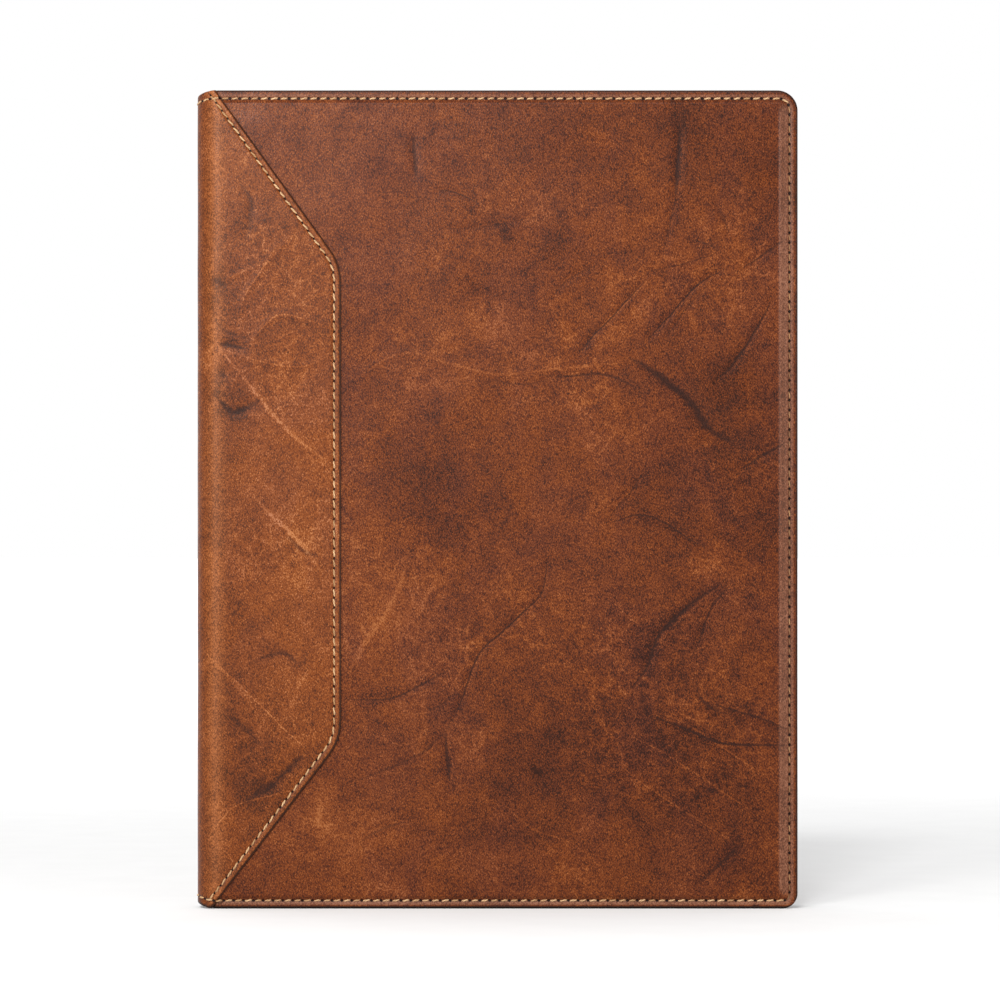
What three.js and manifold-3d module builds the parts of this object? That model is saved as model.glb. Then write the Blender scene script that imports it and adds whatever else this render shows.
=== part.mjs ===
// Leather notebook cover, closed and standing on its lower edges. Millimetres, +Z up.
// X runs from the spine (-X) to the free edge (+X), Y from the front cover (-Y) to the back cover (+Y).
// The origin is under the middle of the cover, on the surface that it stands on.
import * as THREE from "three";
import { mergeVertices } from "three/addons/utils/BufferGeometryUtils.js";
import Module from "manifold-3d";

const wasm = await Module();
wasm.setup();

// Overall size of the closed cover
const WIDTH = 235;
const HEIGHT = 320;
const DEPTH = 22;
const CORNER_RADIUS = 6;
const SPINE_RADIUS = 9;

// Layers, from the outside in, with the glue line between two layers
const GLUE = 0.15;
const WRAP = 1.1;
const LEATHER = 1.2;
const BOARD = 1.8;
const STIFFENER = 1.2;
const LINING = 0.6;
const POCKET = 0.8;
const CARD_POCKET = 0.7;

// Spine cover: reach over each face, the two corners of its edge, and where its slanted ends meet the edges
const WRAP_REACH = 56.4;
const WRAP_LOW_CORNER = 66;
const WRAP_HIGH_CORNER = 252;
const WRAP_CORNER_ROUND = 13;
const WRAP_LOW_TIP = 5.4;
const WRAP_HIGH_TIP = 7.2;

// Board margin and seams
const BOARD_MARGIN = 6.6;
const BOARD_CLEARANCE = 0.3;
const BOARD_SETBACK = 2.5;
const SEAM_INSET = 3.2;
const WRAP_SEAM_INSET = 2.6;
const THREAD_WIDTH = 0.8;
const THREAD_HEIGHT = 0.3;
const THREAD_GAP = 0.05;

// Folds: angle round each spine corner at which a cover's layers end and the spine's layers begin
const COVER_ARC_DEG = 44;
const PANEL_ARC_DEG = 40;
const SPINE_ARC_DEG = 46;
const LINING_END = 6;
const ARC_STEP_DEG = 11;
const SMALL_ARC_STEPS = 4;
const EDGE_ARC_STEPS = 6;
const RING_STEPS = 12;

// Inside pieces
const INSIDE_LEFT = 13.5;
const DOCUMENT_POCKET_HEIGHT = 215;
const CARD_POCKET_WIDTH = 104;
const CARD_POCKET_RIGHT = 62;
const CARD_POCKET_BOTTOM = 92;
const CARD_POCKET_HEIGHT = 50;
const CARD_POCKET_STEP = 16;
const CARD_POCKETS = 3;
const SLEEVE_LEFT = 10.5;
const SLEEVE_HEIGHT = 150;
const SLEEVE_GAP = 1.2;
const SLEEVE_RIM = 5.5;
const PEN_LOOP_OUTER = 5.3;
const PEN_LOOP_WALL = 0.9;
const PEN_LOOP_LENGTH = 40;
const PEN_LOOP_BOTTOM = 225;
const PEN_LOOP_CENTRE = 11.1;
const PEN_LOOP_TAB = 5;

// Writing pad, A4
const SHEET_WIDTH = 210;
const SHEET_HEIGHT = 297;
const SHEETS_THICKNESS = 5.3;
const PAD_CARD = 0.8;
const PAD_CLEARANCE = 0.2;
const PAD_RIGHT_MARGIN = 8;
const PAD_BOTTOM = 11.5;
const BINDING = 0.2;
const BINDING_REACH = 24;
const BINDING_FOOT = 10;

const FRONT = -1;
const BACK = 1;
const LEFT_X = -WIDTH / 2;
const RIGHT_X = WIDTH / 2;
const HALF_DEPTH = DEPTH / 2;
const FOLD_X = LEFT_X + SPINE_RADIUS;

// Depth of each layer's outer face below the spine cover's outer face
const PANEL_INSET = WRAP + GLUE;
const BOARD_INSET = PANEL_INSET + LEATHER + GLUE;
const LINING_INSET = BOARD_INSET + BOARD + GLUE;
const POCKET_INSET = LINING_INSET + LINING + GLUE;
const CARD_POCKET_INSET = POCKET_INSET + POCKET + GLUE;

const LEATHER_LOOK = { color: 0x6f3b22, roughness: 0.55, metalness: 0 };
const WRAP_LOOK = { color: 0x8a4c28, roughness: 0.5, metalness: 0 };
const BOARD_LOOK = { color: 0x8d8676, roughness: 0.9, metalness: 0 };
const LINING_LOOK = { color: 0x4b2d1d, roughness: 0.85, metalness: 0 };
const THREAD_LOOK = { color: 0xc9a070, roughness: 0.7, metalness: 0 };
const PAPER_LOOK = { color: 0xf2efe6, roughness: 0.9, metalness: 0 };
const CARD_LOOK = { color: 0xa79a84, roughness: 0.9, metalness: 0 };
const BINDING_LOOK = { color: 0x3a2a22, roughness: 0.7, metalness: 0 };

const cover = new THREE.Group();

function addPiece(name, geometry, look) {
  const mesh = new THREE.Mesh(geometry, new THREE.MeshStandardMaterial(look));
  mesh.name = name;
  cover.add(mesh);
}

function toSolid(geometry) {
  const bare = geometry.clone();
  bare.deleteAttribute("normal");
  bare.deleteAttribute("uv");
  const merged = mergeVertices(bare);
  const vertProperties = new Float32Array(merged.attributes.position.array);
  const triVerts = new Uint32Array(merged.index.array);
  return new wasm.Manifold(new wasm.Mesh({ numProp: 3, vertProperties, triVerts }));
}

function toGeometry(solid) {
  const mesh = solid.getMesh();
  const geometry = new THREE.BufferGeometry();
  geometry.setAttribute("position", new THREE.BufferAttribute(mesh.vertProperties, 3));
  geometry.setIndex(new THREE.BufferAttribute(mesh.triVerts, 1));
  return geometry;
}

// Y of a layer's face on one cover, at a depth below the spine cover's outer face
function faceY(side, inset) {
  return side * (HALF_DEPTH - inset);
}

// Flat piece of one cover: an outline in X and Z, given thickness inwards from its outer face
function plate(outline, side, inset, thickness) {
  const geometry = new THREE.ExtrudeGeometry(outline, { depth: thickness, bevelEnabled: false });
  geometry.rotateX(Math.PI / 2);
  const outer = faceY(side, inset);
  geometry.translate(0, Math.max(outer, outer - side * thickness), 0);
  return geometry;
}

function box(lowX, highX, lowY, highY, lowZ, highZ) {
  const geometry = new THREE.BoxGeometry(highX - lowX, highY - lowY, highZ - lowZ);
  geometry.translate((lowX + highX) / 2, (lowY + highY) / 2, (lowZ + highZ) / 2);
  return geometry;
}

function rectangle(lowX, highX, lowZ, highZ) {
  return new THREE.Shape([
    new THREE.Vector2(lowX, lowZ),
    new THREE.Vector2(highX, lowZ),
    new THREE.Vector2(highX, highZ),
    new THREE.Vector2(lowX, highZ),
  ]);
}

// Outline of a cover's layer: square at the spine side, with the two free corners rounded
function coverOutline(lowX, highZ = HEIGHT) {
  const round = CORNER_RADIUS;
  const outline = new THREE.Shape();
  outline.moveTo(lowX, 0);
  outline.lineTo(RIGHT_X - round, 0);
  outline.absarc(RIGHT_X - round, round, round, -Math.PI / 2, 0, false);
  if (highZ === HEIGHT) {
    outline.lineTo(RIGHT_X, highZ - round);
    outline.absarc(RIGHT_X - round, highZ - round, round, 0, Math.PI / 2, false);
  } else {
    outline.lineTo(RIGHT_X, highZ);
  }
  outline.lineTo(lowX, highZ);
  outline.closePath();
  return outline;
}

// Edge of the spine cover on a face, shifted inwards by the given amount, from the foot to the head
function wrapEdge(path, shift) {
  const reach = LEFT_X + WRAP_REACH - shift;
  const lowTip = new THREE.Vector2(LEFT_X + WRAP_LOW_TIP - shift, 0);
  const lowCorner = new THREE.Vector2(reach, WRAP_LOW_CORNER + shift / 2);
  const highCorner = new THREE.Vector2(reach, WRAP_HIGH_CORNER - shift / 2);
  const highTip = new THREE.Vector2(LEFT_X + WRAP_HIGH_TIP - shift, HEIGHT);
  const lowDirection = lowCorner.clone().sub(lowTip).normalize();
  const highDirection = highTip.clone().sub(highCorner).normalize();
  const half = WRAP_CORNER_ROUND / 2;
  const lowStart = lowCorner.clone().addScaledVector(lowDirection, -half);
  const highEnd = highCorner.clone().addScaledVector(highDirection, half);
  const lowEdge = lowTip.clone().addScaledVector(lowDirection, shift);
  const highEdge = highTip.clone().addScaledVector(highDirection, -shift);
  path.moveTo(lowEdge.x, lowEdge.y);
  path.lineTo(lowStart.x, lowStart.y);
  path.quadraticCurveTo(lowCorner.x, lowCorner.y, reach, lowCorner.y + half);
  path.lineTo(reach, highCorner.y - half);
  path.quadraticCurveTo(highCorner.x, highCorner.y, highEnd.x, highEnd.y);
  path.lineTo(highEdge.x, highEdge.y);
}

function wrapOutline() {
  const outline = new THREE.Shape();
  wrapEdge(outline, 0);
  outline.lineTo(LEFT_X - 1, HEIGHT);
  outline.lineTo(LEFT_X - 1, 0);
  outline.closePath();
  return outline;
}

// Point on a round corner of the spine: 0 degrees is on the cover's face, 90 on the spine's flat middle
function cornerPoint(side, inset, degrees) {
  const angle = THREE.MathUtils.degToRad(degrees);
  const radius = SPINE_RADIUS - inset;
  const centreY = HALF_DEPTH - SPINE_RADIUS;
  return new THREE.Vector2(FOLD_X - radius * Math.sin(angle), side * (centreY + radius * Math.cos(angle)));
}

function cornerPoints(side, inset, fromDegrees, toDegrees) {
  const steps = Math.ceil(Math.abs(toDegrees - fromDegrees) / ARC_STEP_DEG);
  const points = [];
  for (let i = 0; i <= steps; i += 1) {
    points.push(cornerPoint(side, inset, fromDegrees + ((toDegrees - fromDegrees) * i) / steps));
  }
  return points;
}

function upright(points, lowZ, highZ) {
  const options = { depth: highZ - lowZ, bevelEnabled: false };
  const geometry = new THREE.ExtrudeGeometry(new THREE.Shape(points), options);
  geometry.translate(0, 0, lowZ);
  return geometry;
}

// Layer of one cover that turns the spine's corner up to the given angle
function coverLayer(side, inset, thickness, reachX, degrees) {
  const outer = [new THREE.Vector2(reachX, faceY(side, inset)), ...cornerPoints(side, inset, 0, degrees)];
  const deep = inset + thickness;
  const inner = [new THREE.Vector2(reachX, faceY(side, deep)), ...cornerPoints(side, deep, 0, degrees)];
  return upright([...outer, ...inner.reverse()], 0, HEIGHT);
}

// Layer of the spine: from the one corner, across the flat middle, to the other corner
function spineLayer(inset, thickness, lowZ, highZ) {
  const run = (depth) => [
    ...cornerPoints(FRONT, depth, SPINE_ARC_DEG, 90),
    ...cornerPoints(BACK, depth, 90, SPINE_ARC_DEG),
  ];
  return upright([...run(inset), ...run(inset + thickness).reverse()], lowZ, highZ);
}

// Row of thread as one flat cord along a path in X and Z
function threadRow(points, side, inset) {
  const left = [];
  const right = [];
  points.forEach((point, i) => {
    const before = points[Math.max(i - 1, 0)];
    const after = points[Math.min(i + 1, points.length - 1)];
    const along = after.clone().sub(before).normalize();
    const across = new THREE.Vector2(-along.y, along.x).multiplyScalar(THREAD_WIDTH / 2);
    left.push(point.clone().add(across));
    right.push(point.clone().sub(across));
  });
  const outline = new THREE.Shape([...left, ...right.reverse()]);
  return plate(outline, side, inset - THREAD_GAP - THREAD_HEIGHT, THREAD_HEIGHT);
}

// Row of thread on the inner face of a layer that ends at the given depth
function insideRow(points, side, depth) {
  return threadRow(points, side, depth + THREAD_HEIGHT + 2 * THREAD_GAP);
}

// Row along the head, free edge and foot of a cover's outline, open at the spine side
function edgeRow(lowX, highZ) {
  const highX = RIGHT_X - SEAM_INSET;
  const round = CORNER_RADIUS - SEAM_INSET;
  const top = highZ - SEAM_INSET;
  const path = new THREE.Path();
  path.moveTo(lowX, SEAM_INSET);
  path.lineTo(highX - round, SEAM_INSET);
  path.absarc(highX - round, SEAM_INSET + round, round, -Math.PI / 2, 0, false);
  if (highZ === HEIGHT) {
    path.lineTo(highX, top - round);
    path.absarc(highX - round, top - round, round, 0, Math.PI / 2, false);
    path.lineTo(lowX, top);
  } else {
    path.lineTo(highX, top);
  }
  return path.getPoints(SMALL_ARC_STEPS);
}

function addPanel(side, name) {
  const skin = toSolid(coverLayer(side, PANEL_INSET, LEATHER, RIGHT_X, PANEL_ARC_DEG));
  const outline = toSolid(plate(coverOutline(LEFT_X - 1), side, 0, HALF_DEPTH));
  const rimShape = coverOutline(FOLD_X);
  const rimDepth = LINING_INSET - GLUE - PANEL_INSET;
  const rim = toSolid(plate(rimShape, side, PANEL_INSET, rimDepth));
  const recess = rectangle(FOLD_X - 1, RIGHT_X - BOARD_MARGIN, BOARD_MARGIN, HEIGHT - BOARD_MARGIN);
  const window = toSolid(plate(recess, side, PANEL_INSET - 1, rimDepth + 2));
  addPiece(name, toGeometry(skin.intersect(outline).add(rim.subtract(window))), LEATHER_LOOK);
}

function addBoard(side, name) {
  const edge = BOARD_MARGIN + BOARD_CLEARANCE;
  const outline = rectangle(FOLD_X + BOARD_SETBACK, RIGHT_X - edge, edge, HEIGHT - edge);
  addPiece(name, plate(outline, side, BOARD_INSET, BOARD), BOARD_LOOK);
}

function addLining(side, name) {
  const outline = coverOutline(LEFT_X + LINING_END);
  addPiece(name, plate(outline, side, LINING_INSET, LINING), LINING_LOOK);
}

function addSpineCoverLap(side, name) {
  const strip = toSolid(coverLayer(side, 0, WRAP, LEFT_X + WRAP_REACH + 1, COVER_ARC_DEG));
  const outline = toSolid(plate(wrapOutline(), side, -1, HALF_DEPTH + 1));
  addPiece(name, toGeometry(strip.intersect(outline)), WRAP_LOOK);
}

// Draws the end of a row back along its last stretch, to where the flat face begins
function endAtFold(end, neighbour) {
  const startX = FOLD_X + THREAD_WIDTH;
  end.lerp(neighbour, (startX - end.x) / (neighbour.x - end.x));
}

function addCoverSeams(side, edgeName, lapName) {
  const start = LEFT_X + WRAP_HIGH_TIP + 2 * SEAM_INSET;
  addPiece(edgeName, threadRow(edgeRow(start, HEIGHT), side, PANEL_INSET), THREAD_LOOK);
  const path = new THREE.Path();
  wrapEdge(path, WRAP_SEAM_INSET);
  const points = path.getPoints(EDGE_ARC_STEPS);
  endAtFold(points[0], points[1]);
  endAtFold(points.at(-1), points.at(-2));
  addPiece(lapName, threadRow(points, side, 0), THREAD_LOOK);
}

function addSpine() {
  addPiece("spine_cover_middle", spineLayer(0, WRAP, 0, HEIGHT), WRAP_LOOK);
  const stiffenerInset = WRAP + GLUE;
  const stiffener = spineLayer(stiffenerInset, STIFFENER, BOARD_MARGIN, HEIGHT - BOARD_MARGIN);
  addPiece("spine_stiffener", stiffener, BOARD_LOOK);
  const lining = spineLayer(stiffenerInset + STIFFENER + GLUE, LINING, 0, HEIGHT);
  addPiece("spine_lining", lining, LINING_LOOK);
  const rows = { spine_stitching_bottom: SEAM_INSET, spine_stitching_top: HEIGHT - SEAM_INSET };
  for (const [name, height] of Object.entries(rows)) {
    const low = height - THREAD_WIDTH / 2;
    const inset = -THREAD_GAP - THREAD_HEIGHT;
    addPiece(name, spineLayer(inset, THREAD_HEIGHT, low, low + THREAD_WIDTH), THREAD_LOOK);
  }
}

function addDocumentPocket() {
  const lowX = LEFT_X + INSIDE_LEFT;
  const outline = coverOutline(lowX, DOCUMENT_POCKET_HEIGHT);
  addPiece("document_pocket", plate(outline, FRONT, POCKET_INSET, POCKET), LEATHER_LOOK);
  const level = DOCUMENT_POCKET_HEIGHT - SEAM_INSET;
  const row = [new THREE.Vector2(lowX + SEAM_INSET, level), new THREE.Vector2(RIGHT_X - SEAM_INSET, level)];
  const stitching = insideRow(row, FRONT, POCKET_INSET + POCKET);
  addPiece("document_pocket_stitching", stitching, THREAD_LOOK);
}

function addCardPockets() {
  const highX = CARD_POCKET_RIGHT;
  const lowX = highX - CARD_POCKET_WIDTH;
  let inset = CARD_POCKET_INSET;
  let top = CARD_POCKET_BOTTOM + CARD_POCKET_HEIGHT + (CARD_POCKETS - 1) * CARD_POCKET_STEP;
  for (let i = 1; i <= CARD_POCKETS; i += 1) {
    const outline = rectangle(lowX, highX, CARD_POCKET_BOTTOM, top);
    addPiece(`card_pocket_${i}`, plate(outline, FRONT, inset, CARD_POCKET), LEATHER_LOOK);
    inset += CARD_POCKET + GLUE;
    top -= CARD_POCKET_STEP;
  }
  const edge = THREAD_WIDTH * 2;
  const row = [
    new THREE.Vector2(lowX + edge, top + CARD_POCKET_STEP - edge),
    new THREE.Vector2(lowX + edge, CARD_POCKET_BOTTOM + edge),
    new THREE.Vector2(highX - edge, CARD_POCKET_BOTTOM + edge),
    new THREE.Vector2(highX - edge, top + CARD_POCKET_STEP - edge),
  ];
  addPiece("card_pocket_stitching", insideRow(row, FRONT, inset - GLUE), THREAD_LOOK);
}

function addPadSleeve() {
  const lowX = LEFT_X + SLEEVE_LEFT;
  const rimLeft = lowX + SLEEVE_RIM;
  const depth = SLEEVE_GAP + POCKET;
  const outline = coverOutline(lowX, SLEEVE_HEIGHT);
  const block = toSolid(plate(outline, BACK, POCKET_INSET, depth));
  const hollow = rectangle(rimLeft, RIGHT_X - SLEEVE_RIM, SLEEVE_RIM, SLEEVE_HEIGHT + 1);
  const slot = toSolid(plate(hollow, BACK, POCKET_INSET - 1, SLEEVE_GAP + 1));
  addPiece("pad_sleeve", toGeometry(block.subtract(slot)), LEATHER_LOOK);
  const row = insideRow(edgeRow(lowX + SEAM_INSET, SLEEVE_HEIGHT), BACK, POCKET_INSET + depth);
  addPiece("pad_sleeve_stitching", row, THREAD_LOOK);
}

function addPenLoop() {
  const centreX = LEFT_X + PEN_LOOP_CENTRE;
  const floorY = faceY(BACK, POCKET_INSET);
  const centreY = floorY - PEN_LOOP_OUTER;
  const ring = new THREE.Shape().absarc(centreX, centreY, PEN_LOOP_OUTER, 0, 2 * Math.PI, false);
  const bore = PEN_LOOP_OUTER - PEN_LOOP_WALL;
  ring.holes.push(new THREE.Path().absarc(centreX, centreY, bore, 0, 2 * Math.PI, true));
  const options = { depth: PEN_LOOP_LENGTH, bevelEnabled: false, curveSegments: RING_STEPS };
  const loop = toSolid(new THREE.ExtrudeGeometry(ring, options).translate(0, 0, PEN_LOOP_BOTTOM));
  const top = PEN_LOOP_BOTTOM + PEN_LOOP_LENGTH;
  const tab = box(centreX, centreX + PEN_LOOP_TAB, floorY - PEN_LOOP_WALL, floorY, PEN_LOOP_BOTTOM, top);
  addPiece("pen_loop", toGeometry(loop.add(toSolid(tab))), LEATHER_LOOK);
}

function addPad() {
  const highX = RIGHT_X - PAD_RIGHT_MARGIN;
  const lowX = highX - SHEET_WIDTH;
  const top = PAD_BOTTOM + SHEET_HEIGHT;
  const cardBack = faceY(BACK, POCKET_INSET - GLUE + PAD_CLEARANCE);
  const cardFront = cardBack - PAD_CARD;
  const sleeveFront = faceY(BACK, POCKET_INSET + SLEEVE_GAP + POCKET);
  const sheetsBack = sleeveFront - 1.5 * PAD_CLEARANCE;
  const sheetsFront = sheetsBack - SHEETS_THICKNESS;
  addPiece("pad_card", box(lowX, highX, cardFront, cardBack, PAD_BOTTOM, top), CARD_LOOK);
  addPiece("pad_sheets", box(lowX, highX, sheetsFront, sheetsBack, PAD_BOTTOM, top), PAPER_LOOK);
  const gap = PAD_CLEARANCE / 2;
  const front = sheetsFront - gap;
  const head = top + gap;
  const facing = box(lowX, highX, front - BINDING, front, top - BINDING_REACH, head + BINDING);
  const cap = box(lowX, highX, front - BINDING, cardBack, head, head + BINDING);
  const foot = box(lowX, highX, sheetsBack + gap, cardFront - gap, top - BINDING_FOOT, head + BINDING);
  const binding = toSolid(facing).add(toSolid(cap)).add(toSolid(foot));
  addPiece("pad_binding", toGeometry(binding), BINDING_LOOK);
}

addPanel(FRONT, "front_panel");
addPanel(BACK, "back_panel");
addBoard(FRONT, "front_board");
addBoard(BACK, "back_board");
addLining(FRONT, "front_lining");
addLining(BACK, "back_lining");
addSpineCoverLap(FRONT, "spine_cover_front");
addSpineCoverLap(BACK, "spine_cover_back");
addCoverSeams(FRONT, "front_edge_stitching", "spine_cover_front_stitching");
addCoverSeams(BACK, "back_edge_stitching", "spine_cover_back_stitching");
addSpine();
addDocumentPocket();
addCardPockets();
addPadSleeve();
addPenLoop();
addPad();

export default cover;
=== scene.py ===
"""Looks of a leather notebook cover that stands closed on a pale floor: +Z up, spine at -X, front at -Y.

Leather is built in unrolled coordinates: s runs over the outside of the cover from the middle of the spine,
positive over the front cover and negative over the back cover, and z is the height. Lengths are in
millimetres, turned into metres where vertices are made.
"""
import math

import bmesh
import bpy
import numpy as np
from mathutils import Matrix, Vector, noise


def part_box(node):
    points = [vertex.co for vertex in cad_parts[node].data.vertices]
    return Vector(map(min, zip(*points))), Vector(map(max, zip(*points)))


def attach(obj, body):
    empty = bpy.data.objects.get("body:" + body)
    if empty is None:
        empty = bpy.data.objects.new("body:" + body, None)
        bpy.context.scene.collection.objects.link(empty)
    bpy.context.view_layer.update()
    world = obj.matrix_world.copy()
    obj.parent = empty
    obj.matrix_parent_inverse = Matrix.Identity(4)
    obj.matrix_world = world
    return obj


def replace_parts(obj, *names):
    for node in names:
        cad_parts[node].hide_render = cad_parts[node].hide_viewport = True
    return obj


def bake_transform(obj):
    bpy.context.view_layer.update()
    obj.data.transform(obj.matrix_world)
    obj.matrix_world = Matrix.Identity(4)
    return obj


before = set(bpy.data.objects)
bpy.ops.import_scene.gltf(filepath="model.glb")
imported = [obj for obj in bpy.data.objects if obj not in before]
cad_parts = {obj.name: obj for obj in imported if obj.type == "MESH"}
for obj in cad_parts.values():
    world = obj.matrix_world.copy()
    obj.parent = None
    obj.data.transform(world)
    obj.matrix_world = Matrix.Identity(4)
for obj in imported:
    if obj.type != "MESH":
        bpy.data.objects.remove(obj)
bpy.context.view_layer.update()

MM = 0.001
FRONT, BACK = 1, -1
SIDES = ((FRONT, "front"), (BACK, "back"))


def node_box(name):
    """Lowest and highest corner of a CAD node, in millimetres."""
    low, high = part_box(name)
    return np.array(low) / MM, np.array(high) / MM


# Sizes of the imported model
panel_low, panel_high = node_box("front_panel")
wrap_low, wrap_high = node_box("spine_cover_front")
lining_low, lining_high = node_box("front_lining")
LEFT = node_box("spine_cover_middle")[0][0]
RIGHT = panel_high[0]
HEIGHT = panel_high[2]
HALF_DEPTH = -wrap_low[1]
PANEL_INSET = HALF_DEPTH + panel_low[1]
LINING_INSET = HALF_DEPTH + lining_low[1]
LINING = lining_high[1] - lining_low[1]
WRAP_REACH = wrap_high[0] - LEFT

# Leather: thicknesses, spine corner, and what shows along the edges
WRAP = 1.1
LEATHER = 1.2
SPINE_RADIUS = 9.0
SPINE_DROOP = 2.0
DROOP_REACH = 32.0
TOP_CORNER = 8.0
LOW_CORNER = 6.0
EDGE_DROP = 0.85
SIDE_SLOPE = (4.3, 6.5)
END_SLOPE = (3.7, 5.2)
RIDGE_AT = 6.7
SEAM_INSET = 3.2
WRAP_SEAM_INSET = 2.6
UNDER_LAP_ANGLE = math.radians(34)
FAR_FROM_EDGE = 9.0

# Stitches: length, share of it that the thread shows, and the thread itself
STITCH_PITCH = 3.85
EDGE_FILL = 0.66
LAP_FILL = 0.78
THREAD_RADIUS = 0.36
STITCH_RINGS = 9
STITCH_SIDES = 8
STITCH_SLANT = 0.16
PLY_DEPTH = 0.16
PLY_TURNS = 5.0
RUBBED_THINNER = 0.3
# Painted shade: how much darker the thread is along the free edge
FREE_EDGE_THREAD_SHADE = 1.0
LAP_SEAM_NARROWER = 1.6
HOLE_RADIUS = 0.46

# Spine cover: corners of its edge, and where the slanted ends meet the head and the foot
WRAP_LOW_CORNER = 66.0
WRAP_HIGH_CORNER = 252.0
WRAP_CORNER_ROUND = 11.0
WRAP_LOW_TIP = 5.4
WRAP_HIGH_TIP = 7.2

# Inside: pockets, pen loop, and the sheets and ruled lines of the pad
POCKET_LEATHER = 0.8
CARD_LEATHER = 0.7
CARD_SEAM_INSET = 1.6
PEN_LOOP_WALL = 0.9
PEN_LOOP_PATTERN = 900.0
LEAF_BLOCKS = 12
LEAF_JITTER = 0.25
LEAF_GAP = 0.01
# Faces of a block of sheets over its corners: the two broad ones first
BLOCK_QUADS = [(0, 1, 2, 3), (7, 6, 5, 4), (0, 4, 5, 1), (1, 5, 6, 2), (2, 6, 7, 3), (3, 7, 4, 0)]
RULE_PITCH = 8.5 * MM
RULE_WIDTH = 0.35 * MM
RULES_END = 268 * MM

# Grid spacing, wide in the middle of a piece and fine along its edges
GRID = 0.95
FINE_GRID = 0.35
FINE_BAND = 8.0
WIDE_COLUMNS = 67
EDGE_COLUMNS = 13
EDGE_SHARE = 0.1
INSIDE_GRID = 1.6
INSIDE_FINE_GRID = 0.6

# Marks: how far a line's effect reaches, a line's width against its given width, and how much a tone counts
LINE_REACH = 6.0
LINE_WIDTH = 0.62
RAISED = 0.08
SUNK = 0.15
TONE_SHARE = 0.46
# Seam coordinates of a point far from any seam, and the shift of the leather's pattern on its underside
NO_SEAM = np.array([0.0, 99.0, 0.0])
UNDERSIDE_SHIFT = np.array([400.0, 0.0, 5.0])

FOLD_X = LEFT + SPINE_RADIUS
FLAT_HALF = HALF_DEPTH - SPINE_RADIUS
MID_RADIUS = SPINE_RADIUS - WRAP / 2
FOLD_S = FLAT_HALF + MID_RADIUS * math.pi / 2
FREE_S = FOLD_S + RIGHT - FOLD_X


# ---------------------------------------------------------------- shape of the wrapped leather

def smooth(value, low, high):
    """0 below low, 1 above high, smooth between."""
    t = np.clip((value - low) / (high - low), 0, 1)
    return t * t * (3 - 2 * t)


def bump_at(distance, width):
    return np.exp(-((distance / width) ** 2))


def place(s, z, inset, lift=0.0):
    """Points of the wrapped surface, inset below the spine cover's face and lifted outwards."""
    s, z = np.broadcast_arrays(np.asarray(s, float), np.asarray(z, float))
    side = np.where(s >= 0, 1.0, -1.0)
    along = np.abs(s)
    angle = np.clip((FOLD_S - along) / MID_RADIUS, 0, math.pi / 2)
    radius = SPINE_RADIUS - inset + lift
    straight = np.clip(along - FOLD_S, 0, None)
    middle = np.clip(along, None, FLAT_HALF)
    x = FOLD_X + straight - radius * np.sin(angle)
    y = np.where(angle >= math.pi / 2 - 1e-9, middle, FLAT_HALF + radius * np.cos(angle))
    droop = SPINE_DROOP * (1 - smooth(along, 2.0, FOLD_S - 1.0))
    from_end = np.minimum(z, HEIGHT - z)
    pull = droop * np.clip(1 - from_end / DROOP_REACH, 0, 1)
    height = z + np.where(z < HEIGHT / 2, pull, -pull)
    return np.stack([x, -side * y, height], axis=-1)


def s_of_x(x):
    """Unrolled coordinate of a point on the front face or on the round of the front corner."""
    angle = math.asin(min(1.0, max(0.0, (FOLD_X - x) / SPINE_RADIUS)))
    return FOLD_S + max(0.0, x - FOLD_X) - angle * MID_RADIUS


def smooth_curve(points, steps=8):
    """A Catmull-Rom curve through a few given points."""
    pts = [np.array(p, float) for p in points]
    pts = [2 * pts[0] - pts[1], *pts, 2 * pts[-1] - pts[-2]]
    out = []
    for a, b, c, d in zip(pts, pts[1:], pts[2:], pts[3:]):
        for i in range(steps):
            t = i / steps
            out.append(0.5 * (2 * b + (c - a) * t + (2 * a - 5 * b + 4 * c - d) * t**2
                              + (3 * b - a - 3 * c + d) * t**3))
    out.append(pts[-2])
    return np.array(out)


def along_curve(curve, s, z):
    """Distance to a polyline, the length along it there, and the signed side, for arrays of points."""
    best = np.full(np.shape(s), 1e9)
    length = np.zeros(np.shape(s))
    signed = np.zeros(np.shape(s))
    run = 0.0
    for a, b in zip(curve[:-1], curve[1:]):
        d = b - a
        size = math.hypot(*d)
        if size < 1e-9:
            continue
        t = np.clip(((s - a[0]) * d[0] + (z - a[1]) * d[1]) / size**2, 0, 1)
        ex, ez = s - a[0] - t * d[0], z - a[1] - t * d[1]
        gap = np.hypot(ex, ez)
        near = gap < best
        best = np.where(near, gap, best)
        length = np.where(near, run + t * size, length)
        signed = np.where(near, np.sign(d[0] * ez - d[1] * ex) * gap, signed)
        run += size
    return best, length, signed


def noise_field(s, z, scale, seed, octaves=3):
    """Smooth noise of about -1 to 1 at each point, with features of the given size."""
    flat = np.stack([np.ravel(s) / scale, np.ravel(z) / scale], axis=1)
    values = [noise.fractal(Vector((a, b, seed)), 1.0, 2.0, octaves) for a, b in flat]
    return np.array(values).reshape(np.shape(s))


def rounded_path(corners, radii, steps=6):
    """A polyline with its corners rounded by arcs of about the given radii."""
    pts = [np.array(c, float) for c in corners]
    out = [pts[0]]
    for a, b, c, r in zip(pts, pts[1:], pts[2:], radii):
        u, v = (a - b) / np.linalg.norm(a - b), (c - b) / np.linalg.norm(c - b)
        half = math.acos(np.clip(u @ v, -1, 1)) / 2
        reach = r / math.tan(half)
        p, q = b + u * reach, b + v * reach
        for i in range(steps + 1):
            t = i / steps
            out.append((1 - t) ** 2 * p + 2 * t * (1 - t) * b + t**2 * q)
    out.append(pts[-1])
    return np.array(out)


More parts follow.
